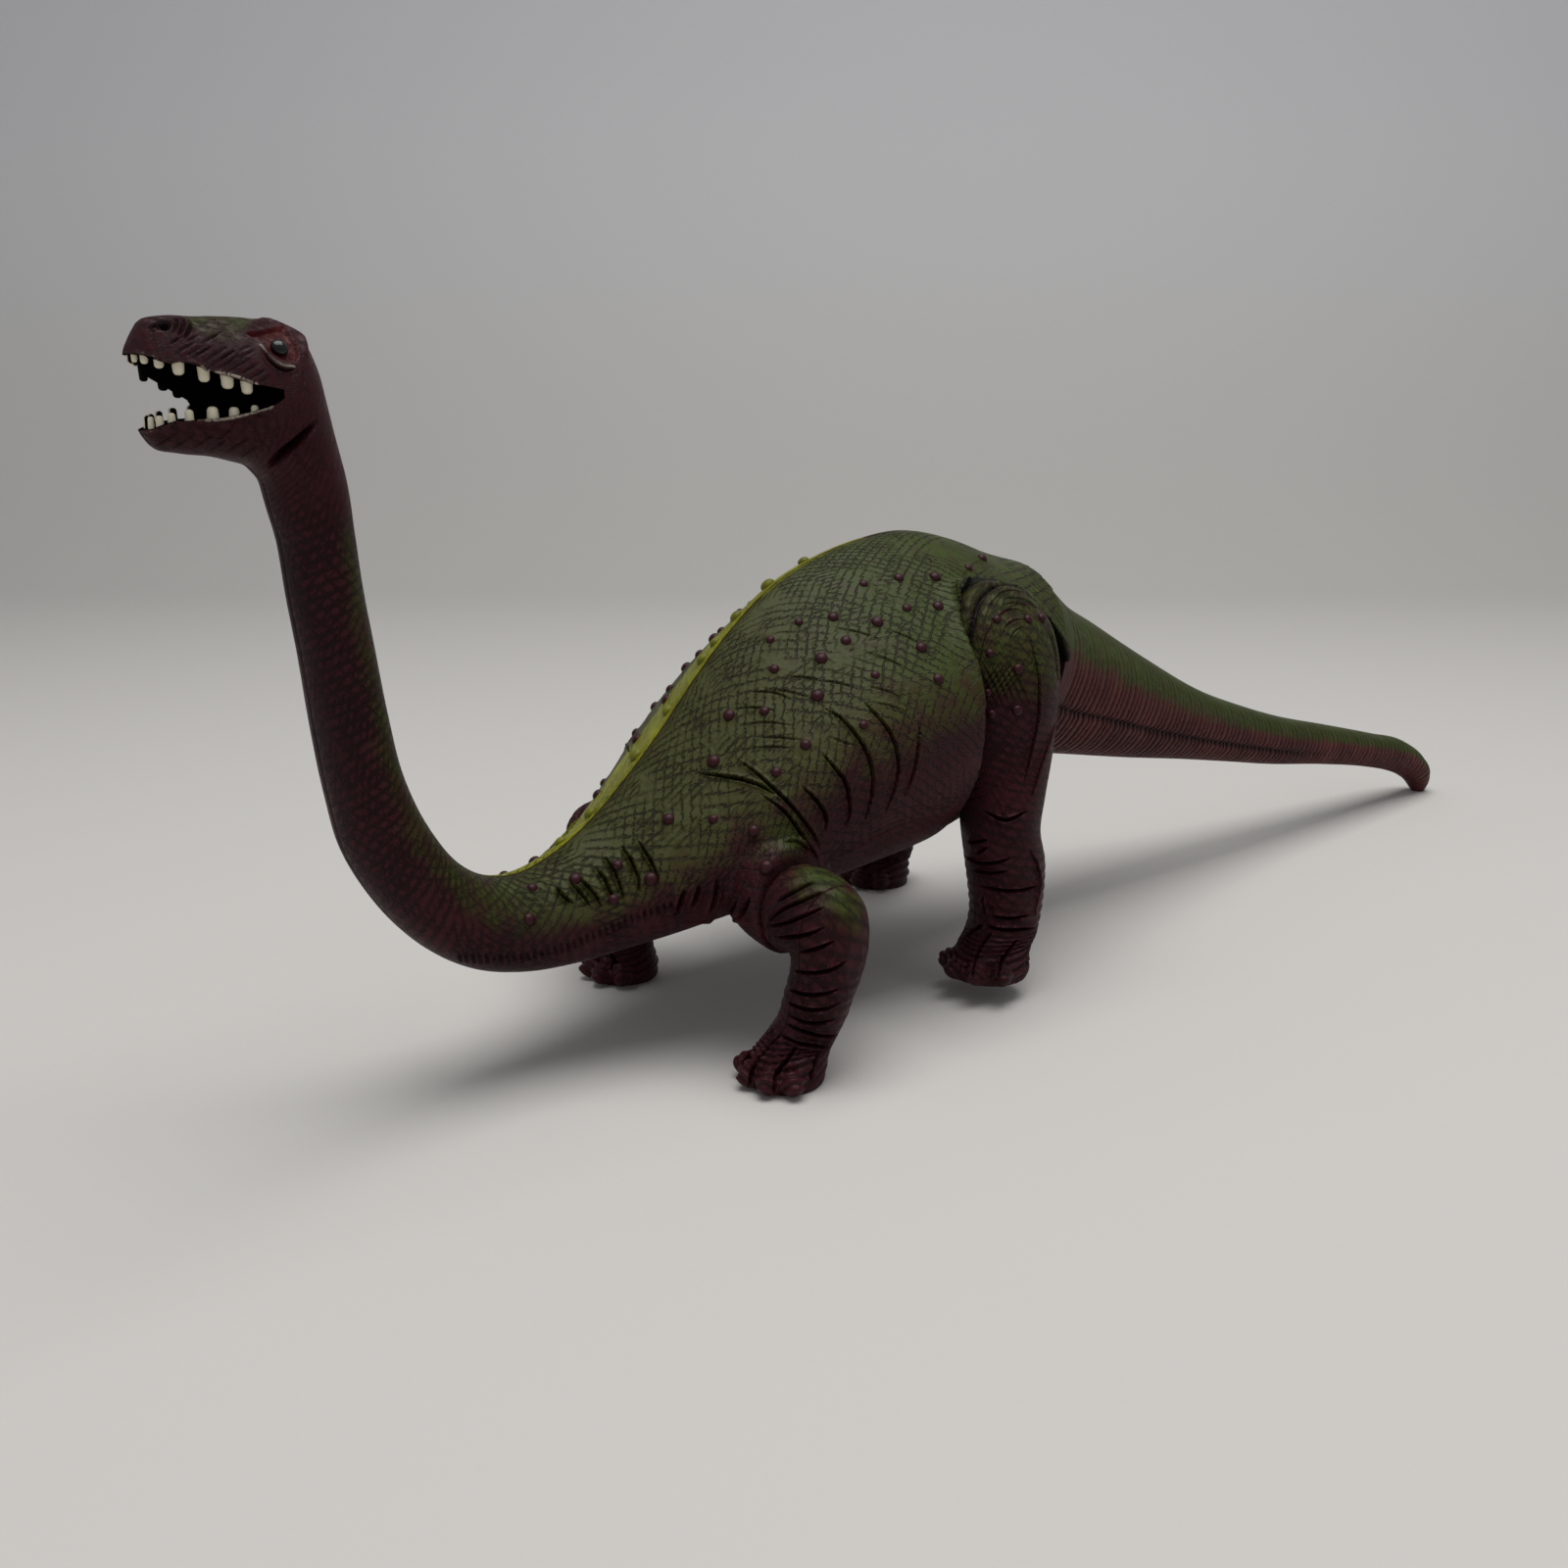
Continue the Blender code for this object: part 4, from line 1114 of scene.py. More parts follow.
def sculpt_body(body, chart):
    """Cut folds and slits into the body, shape its face and rims, and paint it."""
    tree = tree_of(body)
    folds = on_both_sides(tree, flank_folds)
    slits = on_both_sides(tree, chest_slits)
    pleats = on_both_sides(tree, neck_folds + hip_pleats)
    streaks = on_both_sides(tree, flank_streaks)
    edges = on_both_sides(tree, belly_edges)
    fringe = on_both_sides(tree, [((x + 1, y - 3), (x - 1, y - 9), (x - 2, y - 15))
                                  for x, y in smooth_path(chest_fringe, fringe_step)])
    face_lines = (lid_crease, *nostril_wrinkles, eye_almond + eye_almond[:1], lid_line, upper_lip,
                  lower_lip, jaw_fold)

    centres = face_centres(body.data)
    head = (centres[:, 0] < head_end_x) & (centres[:, 2] > head_low_z)
    refine(body, head | close_to(centres, folds + slits + pleats + edges + fringe, fold_reach)
           | close_to(centres, streaks, fine_reach))
    refine(body, close_to(face_centres(body.data), on_both_sides(tree, face_lines), face_reach))
    soften(body, 2)

    skin = Skin(body)
    places, turns, girths = chart.read(skin.points)
    turn = np.minimum(turns, 2 * math.pi - turns)
    skin.store_vector("skin_place", np.stack([places, turn * girths, turn], -1) * 1000)
    skin.grooves(folds, fold_cut)
    skin.grooves(slits, chest_slit_cut)
    skin.grooves(pleats, pleat_cut)
    skin.grooves(streaks, streak_cut)
    skin.grooves(fringe, fringe_cut)
    for line in edges:
        skin.ridge(line, **belly_edge)
    skin.grooves(on_both_sides(tree, (jaw_fold,)), jaw_slit_cut)
    skin.grooves(on_both_sides(tree, (lid_crease,) + nostril_wrinkles), face_crease_cut)
    skin.grooves(on_both_sides(tree, face_scratches), scratch_cut)
    shape_face(skin, tree)
    for place, _normal in cast_all(tree, flank_warts):
        for centre in both(place):
            skin.mound(centre, **wart_mound)
    shape_rims(skin)
    paint_body(skin, tree, turn, turn * girths)
    skin.settle()
    return tree


def shape_face(skin, tree):
    """Brow, lids, lips, eye sockets and nostrils, with their paint."""
    x, y, z = skin.points.T
    near_points = np.stack([x, -stance_offset - np.abs(y + stance_offset), z], -1)
    near_normals = skin.normals * np.stack([np.ones(len(x)), np.where(y > -stance_offset, -1, 1),
                                            np.ones(len(x))], -1)
    shown = np.einsum("ij,ij->i", near_normals, np.array(camera_place) - near_points) > 0
    spots = photo_spots(near_points)
    face = shown & (x < head_end_x) & (z > head_low_z)
    for line in on_both_sides(tree, (brow_line,)):
        skin.ridge(line, **brow_ridge)
    for line in on_both_sides(tree, (lid_line,)):
        skin.ridge(line, **lid_ridge)
        skin.brush("pale", line, **lid_stroke)
    for line in on_both_sides(tree, (upper_lip, lower_lip)):
        skin.ridge(line, **lip_ridge)
        skin.brush("pale", line, **lip_stroke)
    for line in on_both_sides(tree, pale_lips):
        skin.brush("pale", line, **painted_lip_stroke)
    for line in on_both_sides(tree, (hip_arch_rim,)):
        skin.brush("ash", line, **hip_arch_stroke)
    depth = np.where(face, outline_depth(spots, eye_almond), -99)
    skin.paint["red"] = smooth_step(-0.8, 0.8, depth)
    skin.lift -= eye_socket_depth * smooth_step(-0.5, 3.0, depth)
    for centre in both(cast(tree, nostril_spot)[0]):
        skin.mound(centre, **nostril_pit)
        skin.mound(centre, **nostril_wing)
        skin.spray("black", centre, **nostril_shade)
    crown = smooth_step(-6, 7, outline_depth(spots, head_green))
    skin.paint["green"] = np.where(face, 0.62 * crown, 0)


def shape_rims(skin):
    """Parting line along back and belly, raised hip recess rims, and painted shade in the recesses.
    """
    x, y, z = skin.points.T
    middle = np.abs(y + stance_offset)
    skin.lift -= parting_depth * np.exp(-(middle / parting_width) ** 2)
    depth = outline_depth(np.stack([x, z], -1), recess_outline(recess_ease))
    outside = middle > hip_plane - 0.002
    # Painted shade: the black layer fills the hip recesses and their walls
    skin.paint["black"] = np.maximum(skin.paint["black"], 0.85 * ((depth > -0.0004) & outside))
    rim = np.exp(-(np.maximum(-depth - rim_width, 0) / rim_width) ** 2) * (depth < 0.0002) * outside
    rim = rim * smooth_step(hip_height - 0.012, hip_height + 0.003, z)
    skin.points[:, 1] += np.sign(y + stance_offset) * rim_height * rim


def paint_body(skin, tree, turn, girth_turn):
    """Green and ash over the back, the yellow stripe, and where the engraving lies."""
    x, y, z = skin.points.T
    degrees = np.degrees(turn)
    torso = smooth_step(*torso_start, x)
    off_head = 1 - smooth_step(head_end_x + 0.004, head_end_x - 0.004, x) * smooth_step(
        head_low_z - 0.010, head_low_z + 0.002, z)
    spine = smooth_step(*green_turns, degrees) * (0.62 + 0.38 * torso)
    skin.paint["green"] = np.maximum(skin.paint["green"], spine * off_head)
    for spot, radius, amount in green_sprays:
        for centre in both(cast(tree, spot)[0]):
            skin.spray("green", centre, radius, amount)
    ash_over_back = 0.55 * torso * smooth_step(*ash_turns, degrees)
    skin.paint["ash"] = np.maximum(skin.paint["ash"],
                                   ash_over_back * (1 - 0.6 * smooth_step(*ash_end, x)))
    past_seam = smooth_step(-0.0001, 0.0003, y + stance_offset)
    far_stripe = smooth_step(far_stripe_end, far_stripe_full, girth_turn) * past_seam
    near_stripe = smooth_step(near_stripe_end, near_stripe_full, girth_turn)
    near_stripe = 0.9 * near_stripe * smooth_step(*near_stripe_start, x)
    stripe_fade = smooth_step(*stripe_start, x) * (1 - 0.85 * smooth_step(*stripe_fade_end, x))
    skin.paint["yellow"] = 1.2 * np.maximum(far_stripe, near_stripe) * stripe_fade
    lower = smooth_step(*belly_turns, degrees)
    skin.paint["rings"] = (1 - torso) * (0.35 + 0.65 * off_head) + 0.5 * torso * lower
    skin.paint["first_hatch"] = torso + (1 - torso) * (0.35 + 0.5 * off_head)
    skin.paint["second_hatch"] = (torso * smooth_step(*hatch_turns, degrees)
                                  + (1 - torso) * (0.3 + 0.4 * off_head))


# Limbs and tail

def add_toes(side, centre, sole, half_x, half_y):
    toes = []
    for degrees in toe_turns:
        angle = math.radians(degrees)
        ahead = np.array((-math.cos(angle), side * math.sin(angle), 0))
        place = np.array((centre[0] + half_x * ahead[0], centre[1] + half_y * ahead[1],
                          sole + toe_radius))
        place -= ahead * toe_reach * toe_setback_share
        bpy.ops.mesh.primitive_uv_sphere_add(segments=24, ring_count=16, radius=1,
                                             location=tuple(place))
        toe = bpy.context.object
        toe.scale = (toe_reach, toe_radius, toe_radius)
        toe.rotation_euler = (0, 0, math.atan2(ahead[1], ahead[0]))
        bpy.ops.object.transform_apply(location=True, rotation=True, scale=True)
        toes.append(toe)
    return toes


def plain_leg(name, side, rings, places, rows, foot_x, foot_out, sole, half_x, half_y):
    """A leg of rings fused with its toes, and the chart that reads places on it."""
    chart = Chart(rings, places, full_turns(leg_count), (rows[:, 3] + rows[:, 4]) / 2)
    leg = tube(name, rings)
    toes = add_toes(side, (foot_x, side * foot_out - stance_offset), sole, half_x, half_y)
    leg = join([leg] + toes)
    voxel_skin(leg, limb_voxel, 3)
    return leg, chart


def plain_hind_leg(side_name, stride, splay, lift):
    side = sides[side_name]
    _height, ahead, out, half_x, half_y = hind_section_shares[-2]
    rings, places, rows = hind_leg_rings(side, stride, splay, lift, leg_count, ring_step / 2)
    return plain_leg("hind_leg_" + side_name, side, rings, places, rows,
                     hip_x + thigh_radius * ahead + stride, body_width * out + splay, lift,
                     thigh_radius * half_x, thigh_radius * half_y)


def plain_foreleg(side_name, stride, splay):
    side = sides[side_name]
    out, ahead, _height, half_x, half_y, _turn = fore_section_shares[-2]
    rings, places, rows = arm_rings(fore_section_shares, side, stride, splay, leg_count,
                                    ring_step / 2)
    return plain_leg("foreleg_" + side_name, side, rings, places, rows,
                     shoulder_x + arm_radius * ahead + stride, body_width * out + splay, 0,
                     arm_radius * half_x, arm_radius * half_y)


def carry_over(chart_from, chart_to, line):
    """A line on one leg, laid at the same place along and round another leg."""
    places, turns, _girths = chart_from.read(line)
    rows = len(chart_to.places)
    scale = chart_to.places[-1] / chart_from.places[-1]
    index = np.clip(np.interp(places * scale, chart_to.places, np.arange(rows)), 0, rows - 1.001)
    column = turns / (2 * math.pi) * chart_to.count
    row0 = index.astype(int)
    col0 = column.astype(int) % chart_to.count
    part_r = (index - row0)[:, None]
    part_c = (column - np.floor(column))[:, None]
    col1 = (col0 + 1) % chart_to.count
    first = chart_to.rings[row0, col0] * (1 - part_c) + chart_to.rings[row0, col1] * part_c
    second = chart_to.rings[row0 + 1, col0] * (1 - part_c) + chart_to.rings[row0 + 1, col1] * part_c
    return first * (1 - part_r) + second * part_r


def sculpt_leg(leg, chart, creases, fine_lines, toe_lines, seam_lines, spots, kind):
    """Creases, toe lines and paint of one leg, given as lines on its own skin."""
    centres = face_centres(leg.data)
    lines = list(creases) + list(fine_lines) + list(toe_lines) + list(seam_lines)
    refine(leg, close_to(centres, lines, fine_reach))
    skin = Skin(leg)
    places, turns, girths = chart.read(skin.points)
    sole = skin.points[:, 2].min()
    foot = smooth_step(*foot_heights, skin.points[:, 2] - sole)
    low = skin.points[:, 2] < sole + sole_band
    middle = skin.points[low][:, :2].mean(0)
    spread = np.linalg.norm(skin.points[:, :2] - middle, axis=1)
    reach = places + foot * spread
    skin.store_vector("skin_place", np.stack([reach, turns * girths, turns], -1) * 1000)
    # Painted shade goes along every crease, toe line and the thigh's seam
    skin.grooves(creases, leg_crease_cut)
    skin.grooves(fine_lines, fine_leg_cut)
    skin.grooves(toe_lines, toe_cut)
    skin.grooves(seam_lines, thigh_seam_cut)
    # Rows of scale bars over the foot and, lower, up the shin, with painted shade between the bars
    shin = smooth_step(*shin_heights, skin.points[:, 2] - sole)
    bars = 0.5 + 0.5 * np.cos(2 * math.pi * (reach / bar_period) + 0.9 * np.sin(3 * turns))
    upward = smooth_step(-0.5, -0.1, skin.normals[:, 2])
    weight = (0.45 * shin + 0.55 * foot) * upward
    skin.lift += bar_height * (bars - 0.6) * weight
    shade_between_bars = 0.8 * weight * smooth_step(0.30, 0.0, bars)
    skin.paint["crease"] = np.maximum(skin.paint["crease"], shade_between_bars)
    for centre, radius, amount in spots:
        skin.spray("green", centre, radius, amount)
    skin.paint["rings"] = 0.8 * (1 - foot)
    skin.paint["first_hatch"] = 0.7 * (1 - foot)
    skin.paint["second_hatch"] = 0.5 * (1 - foot)
    if kind == "hind":
        upper = smooth_step(*thigh_paint_heights, skin.points[:, 2])
        skin.paint["green"] = np.maximum(skin.paint["green"], 0.8 * upper)
        skin.paint["ash"] = 0.35 * upper
        skin.paint["rings"] = np.maximum(skin.paint["rings"], 0.7 * (1 - upper))
    skin.settle()


def sculpt_pair(near, far, groups, spots, kind):
    """Work the same lines into the near leg and, carried over, into the far one."""
    near_leg, near_chart = near
    far_leg, far_chart = far
    sculpt_leg(near_leg, near_chart, *groups, spots, kind)
    far_groups = [[carry_over(near_chart, far_chart, line) for line in lines]
                  for lines in groups]
    sculpt_leg(far_leg, far_chart, *far_groups, [], kind)


def tail_rings():
    rows = np.vstack([tail_ring_row(fit_gap, tail_ring_radius - tail_lip),
                      side_rows(tail_section_shares)])
    rows = np.hstack([rows, np.zeros((len(rows), 2))])
    middles = (rows[:, 0:2] + rows[:, 2:4]) / 2
    return resample(rows, middles, tail_step)


def make_tail(side_name, side):
    """Half of the tail: ribs across it and a groove along its side, with painted shade in them."""
    rows, places = tail_rings()
    count = 96
    turns = np.linspace(0, math.pi, count)
    rings = side_rings(rows, side * turns)
    low = math.radians(tail_groove_turn)
    lean = tail_rib_lean * np.exp(-((turns - low) / 0.6) ** 2)[None, :]
    heights = np.hypot(rows[:, 0] - rows[:, 2], rows[:, 1] - rows[:, 3]) / 2
    girth = (heights + rows[:, 4])[:, None] / 2
    place = places[:, None] + lean * girth / tail_ring_radius
    place = place + 0.00025 * np.sin(place * 900 + 2.1 * turns[None, :])
    valley = np.clip(1 - 1.5 * np.abs(np.sin(math.pi * place / rib_pitch)), 0, 1)
    fade = smooth_step(0.0035, 0.0060, places)[:, None]
    fade = fade * smooth_step(places[-1], places[-1] - 0.012, places)[:, None]
    fade = fade * smooth_step(0.45, 1.15, turns)[None, :]
    groove = np.exp(-((turns - low)[None, :] * girth / tail_groove_width) ** 2)
    groove = groove * smooth_step(places[-1] * 0.75, places[-1] * 0.5, places)[:, None]
    slim = np.minimum(1, girth / tail_full_girth)
    lift = -tail_rib_depth * slim * fade * valley - tail_groove_depth * groove
    centre = rings.mean(1, keepdims=True)
    centre[:, :, 1] = -stance_offset
    outward = rings - centre
    outward = outward / np.maximum(np.linalg.norm(outward, axis=2, keepdims=True), 1e-9)
    rings = rings + outward * lift[:, :, None]
    rings[:, 0, 1] = -stance_offset + side * seam_gap / 2
    rings[:, -1, 1] = -stance_offset + side * seam_gap / 2
    rings[:, :, 1] = np.where(side * (rings[:, :, 1] + stance_offset) < seam_gap / 2,
                              -stance_offset + side * seam_gap / 2, rings[:, :, 1])
    piece = tube("tail_skin_" + side_name, rings)
    skin = Skin(piece)
    flat_turns = np.tile(turns, len(places))
    flat_places = np.repeat(places, count)
    flat_girths = np.repeat(girth[:, 0], count)
    skin.store_vector("skin_place",
                      np.stack([flat_places, flat_turns * flat_girths, flat_turns], -1) * 1000)
    skin.paint["green"] = 1.1 * smooth_step(math.radians(95), math.radians(60), flat_turns)
    # Painted shade in the rib valleys and along the side groove
    skin.paint["crease"] = np.clip(valley * fade, 0, 1).ravel() * 0.95 + groove.ravel() * 0.8
    skin.paint["rings"] = 0.5 * smooth_step(0.3, 1.0, flat_turns)
    skin.paint["first_hatch"] = 0.5 * smooth_step(1.2, 0.5, flat_turns)
    skin.settle()
    return piece


# Small pieces

def bead(name, radius, squash, place, normal, segments=12, rings=8):
    """A flattened bead that sits on a skin."""
    bpy.ops.mesh.primitive_uv_sphere_add(segments=segments, ring_count=rings, radius=radius)
    piece = bpy.context.object
    piece.name = name
    piece.scale = (1, 1, squash)
    piece.rotation_euler = Vector(normal).to_track_quat("Z", "Y").to_euler()
    piece.location = Vector(place)
    bpy.ops.object.transform_apply(location=True, rotation=True, scale=True)
    return piece


def nearest(tree, point):
    place, normal, _face, _gap = tree.find_nearest(Vector(point))
    return np.array(place), np.array(normal)


def warts(name, spots, material, body):
    """Small blunt warts, all of one side in one piece."""
    pieces = []
    for index, (place, normal, size) in enumerate(spots):
        radius = wart_radius * size * (0.82 + 0.30 * (index * 7 % 5) / 4)
        pieces.append(bead("%s_%d" % (name, index), radius, wart_squash,
                           place + normal * wart_lift, normal))
    group = join(pieces)
    group.name = name
    group.data.materials.clear()
    group.data.materials.append(material)
    keep_inside(group)
    smooth_shading(group, 60)
    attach(group, body)
    return group


def keep_inside(thing):
    """Hold a small piece within the figure's own box."""
    low, high = inner_box()
    for vertex in thing.data.vertices:
        vertex.co = np.clip(vertex.co, low, high)


# Materials

class Graph:
    """Short forms for building a material from nodes."""

    def __init__(self, name):
        self.material = bpy.data.materials.new(name)
        self.material.use_nodes = True
        self.tree = self.material.node_tree
        self.shader = self.tree.nodes["Principled BSDF"]

    def node(self, kind, **settings):
        made = self.tree.nodes.new(kind)
        for key, value in settings.items():
            setattr(made, key, value)
        return made

    def link(self, source, target):
        self.tree.links.new(source, target)

    def layer(self, name):
        return self.node("ShaderNodeAttribute", attribute_name=name).outputs["Fac"]

    def place(self):
        return self.node("ShaderNodeTexCoord").outputs["Object"]

    def noise(self, scale, detail):
        made = self.node("ShaderNodeTexNoise")
        made.inputs["Scale"].default_value = scale
        made.inputs["Detail"].default_value = detail
        self.link(self.place(), made.inputs["Vector"])
        return made.outputs["Fac"]

    def maths(self, operation, first, second, clamp=False):
        made = self.node("ShaderNodeMath", operation=operation, use_clamp=clamp)
        for socket, value in zip(made.inputs, (first, second)):
            if isinstance(value, (int, float)):
                socket.default_value = value
            else:
                self.link(value, socket)
        return made.outputs[0]

    def smooth_range(self, value, low, high):
        """From 0 to 1, softly, as a value goes from low to high."""
        made = self.node("ShaderNodeMapRange", interpolation_type="SMOOTHSTEP")
        self.link(value, made.inputs["Value"])
        made.inputs["From Min"].default_value = low
        made.inputs["From Max"].default_value = high
        return made.outputs["Result"]

    def bump(self, height, strength, distance):
        made = self.node("ShaderNodeBump")
        made.inputs["Strength"].default_value = strength
        made.inputs["Distance"].default_value = distance
        self.link(height, made.inputs["Height"])
        self.link(made.outputs["Normal"], self.shader.inputs["Normal"])

    def blend(self, factor, first, second):
        made = self.node("ShaderNodeMix", data_type="RGBA")
        sockets = (made.inputs[0], made.inputs[6], made.inputs[7])
        for socket, value in zip(sockets, (factor, first, second)):
            if isinstance(value, (int, float, tuple)):
                socket.default_value = value
            else:
                self.link(value, socket)
        return made.outputs[2]


def worn(graph, layer_name, ragged, low, high):
    """A sprayed layer with a ragged edge, and nothing where no paint was sprayed."""
    layer = graph.layer(layer_name)
    rough_edge = graph.maths("MULTIPLY", graph.maths("SUBTRACT", ragged, 0.5), 1.1)
    sprayed = graph.maths("MULTIPLY", layer, 3.0, True)
    amount = graph.maths("ADD", layer, graph.maths("MULTIPLY", rough_edge, sprayed))
    return graph.smooth_range(amount, low, high)


def engraving(graph, turn, period, waver, line_share=0.16):
    """Hand-engraved thin lines across the skin."""
    place = graph.node("ShaderNodeAttribute", attribute_name="skin_place").outputs["Vector"]
    mapping = graph.node("ShaderNodeMapping")
    graph.link(place, mapping.inputs["Vector"])
    mapping.inputs["Rotation"].default_value = (0, 0, math.radians(turn))
    wave = graph.node("ShaderNodeTexWave", wave_type="BANDS", bands_direction="X")
    graph.link(mapping.outputs["Vector"], wave.inputs["Vector"])
    wave.inputs["Scale"].default_value = 2 * math.pi / 20 / period
    wave.inputs["Distortion"].default_value = waver
    wave.inputs["Detail"].default_value = 2.0
    wave.inputs["Detail Scale"].default_value = 0.35
    return graph.smooth_range(wave.outputs["Fac"], 0.0, line_share)


def etched(graph, lines, layer_name, mask):
    """Lines kept only where a layer and a broken mask let them show."""
    weight = graph.maths("MULTIPLY", graph.layer(layer_name), mask, True)
    cut = graph.maths("MULTIPLY", graph.maths("SUBTRACT", 1.0, lines), weight)
    return graph.maths("SUBTRACT", 1.0, cut, True)


def broken(graph, scale, low, high):
    """A patchy mask from nothing to full."""
    return graph.smooth_range(graph.noise(scale, 2), low, high)


def skin_material(name, rib_period, first_period, second_period, fine_period, warm=maroon):
    """Sprayed paint over moulded plastic, with dark engraved lines at periods in millimetres."""
    graph = Graph(name)
    broad = graph.noise(70, 3)
    ragged = graph.noise(300, 5)
    fleck = graph.noise(1500, 2)
    base = graph.blend(broad, maroon_dark, warm)
    leaf = graph.blend(ragged, green, green_bright)
    # Paler ash flecked with green, over the top of the back, the thighs and the hip rims
    ash_fleck = graph.blend(fleck, ash, green)
    colour = graph.blend(worn(graph, "green", ragged, 0.15, 1.10), base, leaf)
    ash_cover = graph.maths("MULTIPLY", worn(graph, "ash", ragged, 0.20, 1.05), 0.75)
    colour = graph.blend(ash_cover, colour, ash_fleck)
    colour = graph.blend(worn(graph, "yellow", ragged, 0.10, 0.75), colour, yellow)
    colour = graph.blend(worn(graph, "pale", ragged, 0.25, 0.9), colour, pale)
    colour = graph.blend(graph.maths("MINIMUM", graph.layer("red"), 1.0, True), colour, eye_red)

    rings = etched(graph, engraving(graph, 14, rib_period, 3.5, 0.3), "rings",
                   broken(graph, 160, 0.30, 0.55))
    first = etched(graph, engraving(graph, 42, first_period, 3.0), "first_hatch",
                   broken(graph, 130, 0.38, 0.55))
    second = etched(graph, engraving(graph, -50, second_period, 3.0), "second_hatch",
                    broken(graph, 110, 0.38, 0.55))
    fine = etched(graph, engraving(graph, 70, fine_period, 5.0), "first_hatch",
                  broken(graph, 190, 0.48, 0.62))
    lines = graph.maths("MULTIPLY", graph.maths("MULTIPLY", rings, fine),
                        graph.maths("MULTIPLY", first, second))
    # Painted shade darkens the creases, and the engraved lines are drawn darker with it
    cut = graph.maths("SUBTRACT", 1.0, lines, True)
    shade = graph.maths("MAXIMUM", graph.maths("MULTIPLY", graph.layer("crease"), 0.92, True),
                        graph.maths("MULTIPLY", cut, 0.80))
    colour = graph.blend(shade, colour, maroon_black)
    # Painted shade from the black layer, in the hip recesses and the nostrils
    dark = graph.maths("MINIMUM", graph.layer("black"), 1.0, True)
    colour = graph.blend(dark, colour, mouth_black)
    graph.link(colour, graph.shader.inputs["Base Color"])

    leather = graph.noise(900, 4)
    height = graph.maths("ADD", graph.maths("MULTIPLY", lines, 0.9),
                         graph.maths("MULTIPLY", leather, 0.5))
    graph.bump(height, 0.8, engraving_depth)
    rough = graph.node("ShaderNodeMapRange")
    graph.link(ragged, rough.inputs["Value"])
    rough.inputs["To Min"].default_value = 0.36
    rough.inputs["To Max"].default_value = 0.56
    graph.link(rough.outputs["Result"], graph.shader.inputs["Roughness"])
    graph.shader.inputs["Specular IOR Level"].default_value = skin_specular
    return graph.material


def plain_paint(name, colour, second, roughness, scale=300, specular=0.5, bump_depth=0.0001):
    graph = Graph(name)
    patches = graph.noise(scale, 3)
    graph.link(graph.blend(patches, colour, second), graph.shader.inputs["Base Color"])
    graph.shader.inputs["Roughness"].default_value = roughness
    graph.shader.inputs["Specular IOR Level"].default_value = specular
    graph.bump(patches, 0.3, bump_depth)
    return graph.material


# Whole figure

def finish_piece(piece, materials, body, nodes):
    """Give a piece its materials in place of the empty slots that its Booleans left."""
    chosen = np.zeros(len(piece.data.polygons), np.int32)
    piece.data.polygons.foreach_get("material_index", chosen)
    piece.data.materials.clear()
    for material in materials:
        piece.data.materials.append(material)
    piece.data.polygons.foreach_set("material_index", np.minimum(chosen, len(materials) - 1))
    smooth_shading(piece, 50)
    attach(piece, body)
    if nodes:
        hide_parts(*nodes)


def make_body_skins():
    body, chart = plain_body()
    tree = sculpt_body(body, chart)
    mouth = plain_paint("mouth_black", mouth_black, palate_black, 1.0, specular=0.0)
    materials = [skin_material("body_paint", rib_period=1.7, first_period=1.5, second_period=1.9,
                               fine_period=1.1), mouth]
    for side_name, side in sides.items():
        half = copy_of(body, "body_skin_" + side_name)
        cut_away(half, (0, -stance_offset + side * seam_gap / 2, 0), (0, -side, 0))
        finish_piece(half, materials, "body", ["body_shell_" + side_name])
    drop(body)
    return tree


def split_leg(leg, side_name, leg_name, split, slant, height, face_plane, material):
    """Cut a leg flat at its joint and in two along its own middle."""
    side = sides[side_name]
    if leg_name == "hindleg":
        cut_away(leg, (0, side * face_plane - stance_offset, 0), (0, -side, 0))
    else:
        near, far = sorted((side * (face_plane - arm_radius), side * face_plane))
        top = height + 2 * arm_radius
        front, rear = shoulder_x - 3 * arm_radius, shoulder_x + 3 * arm_radius
        outline = ((front, arm_cut_low), (rear, arm_cut_low), (rear, top), (front, top))
        face = prism("arm_face", outline, near - stance_offset, far - stance_offset)
        combine(leg, face, "DIFFERENCE", "MANIFOLD")
    lean = Vector((0, side, slant / height)).normalized()
    for part, outer in (("outer", 1), ("inner", -1)):
        half = copy_of(leg, "%s_%s_%s_skin" % (leg_name, side_name, part))
        place = Vector((0, side * (split + slant) - stance_offset, 0)) + lean * outer * seam_gap / 2
        cut_away(half, place, -lean * outer)
        finish_piece(half, [material], leg_name + "_" + side_name,
                     ["%s_%s_%s_shell" % (leg_name, side_name, part)])
    drop(leg)


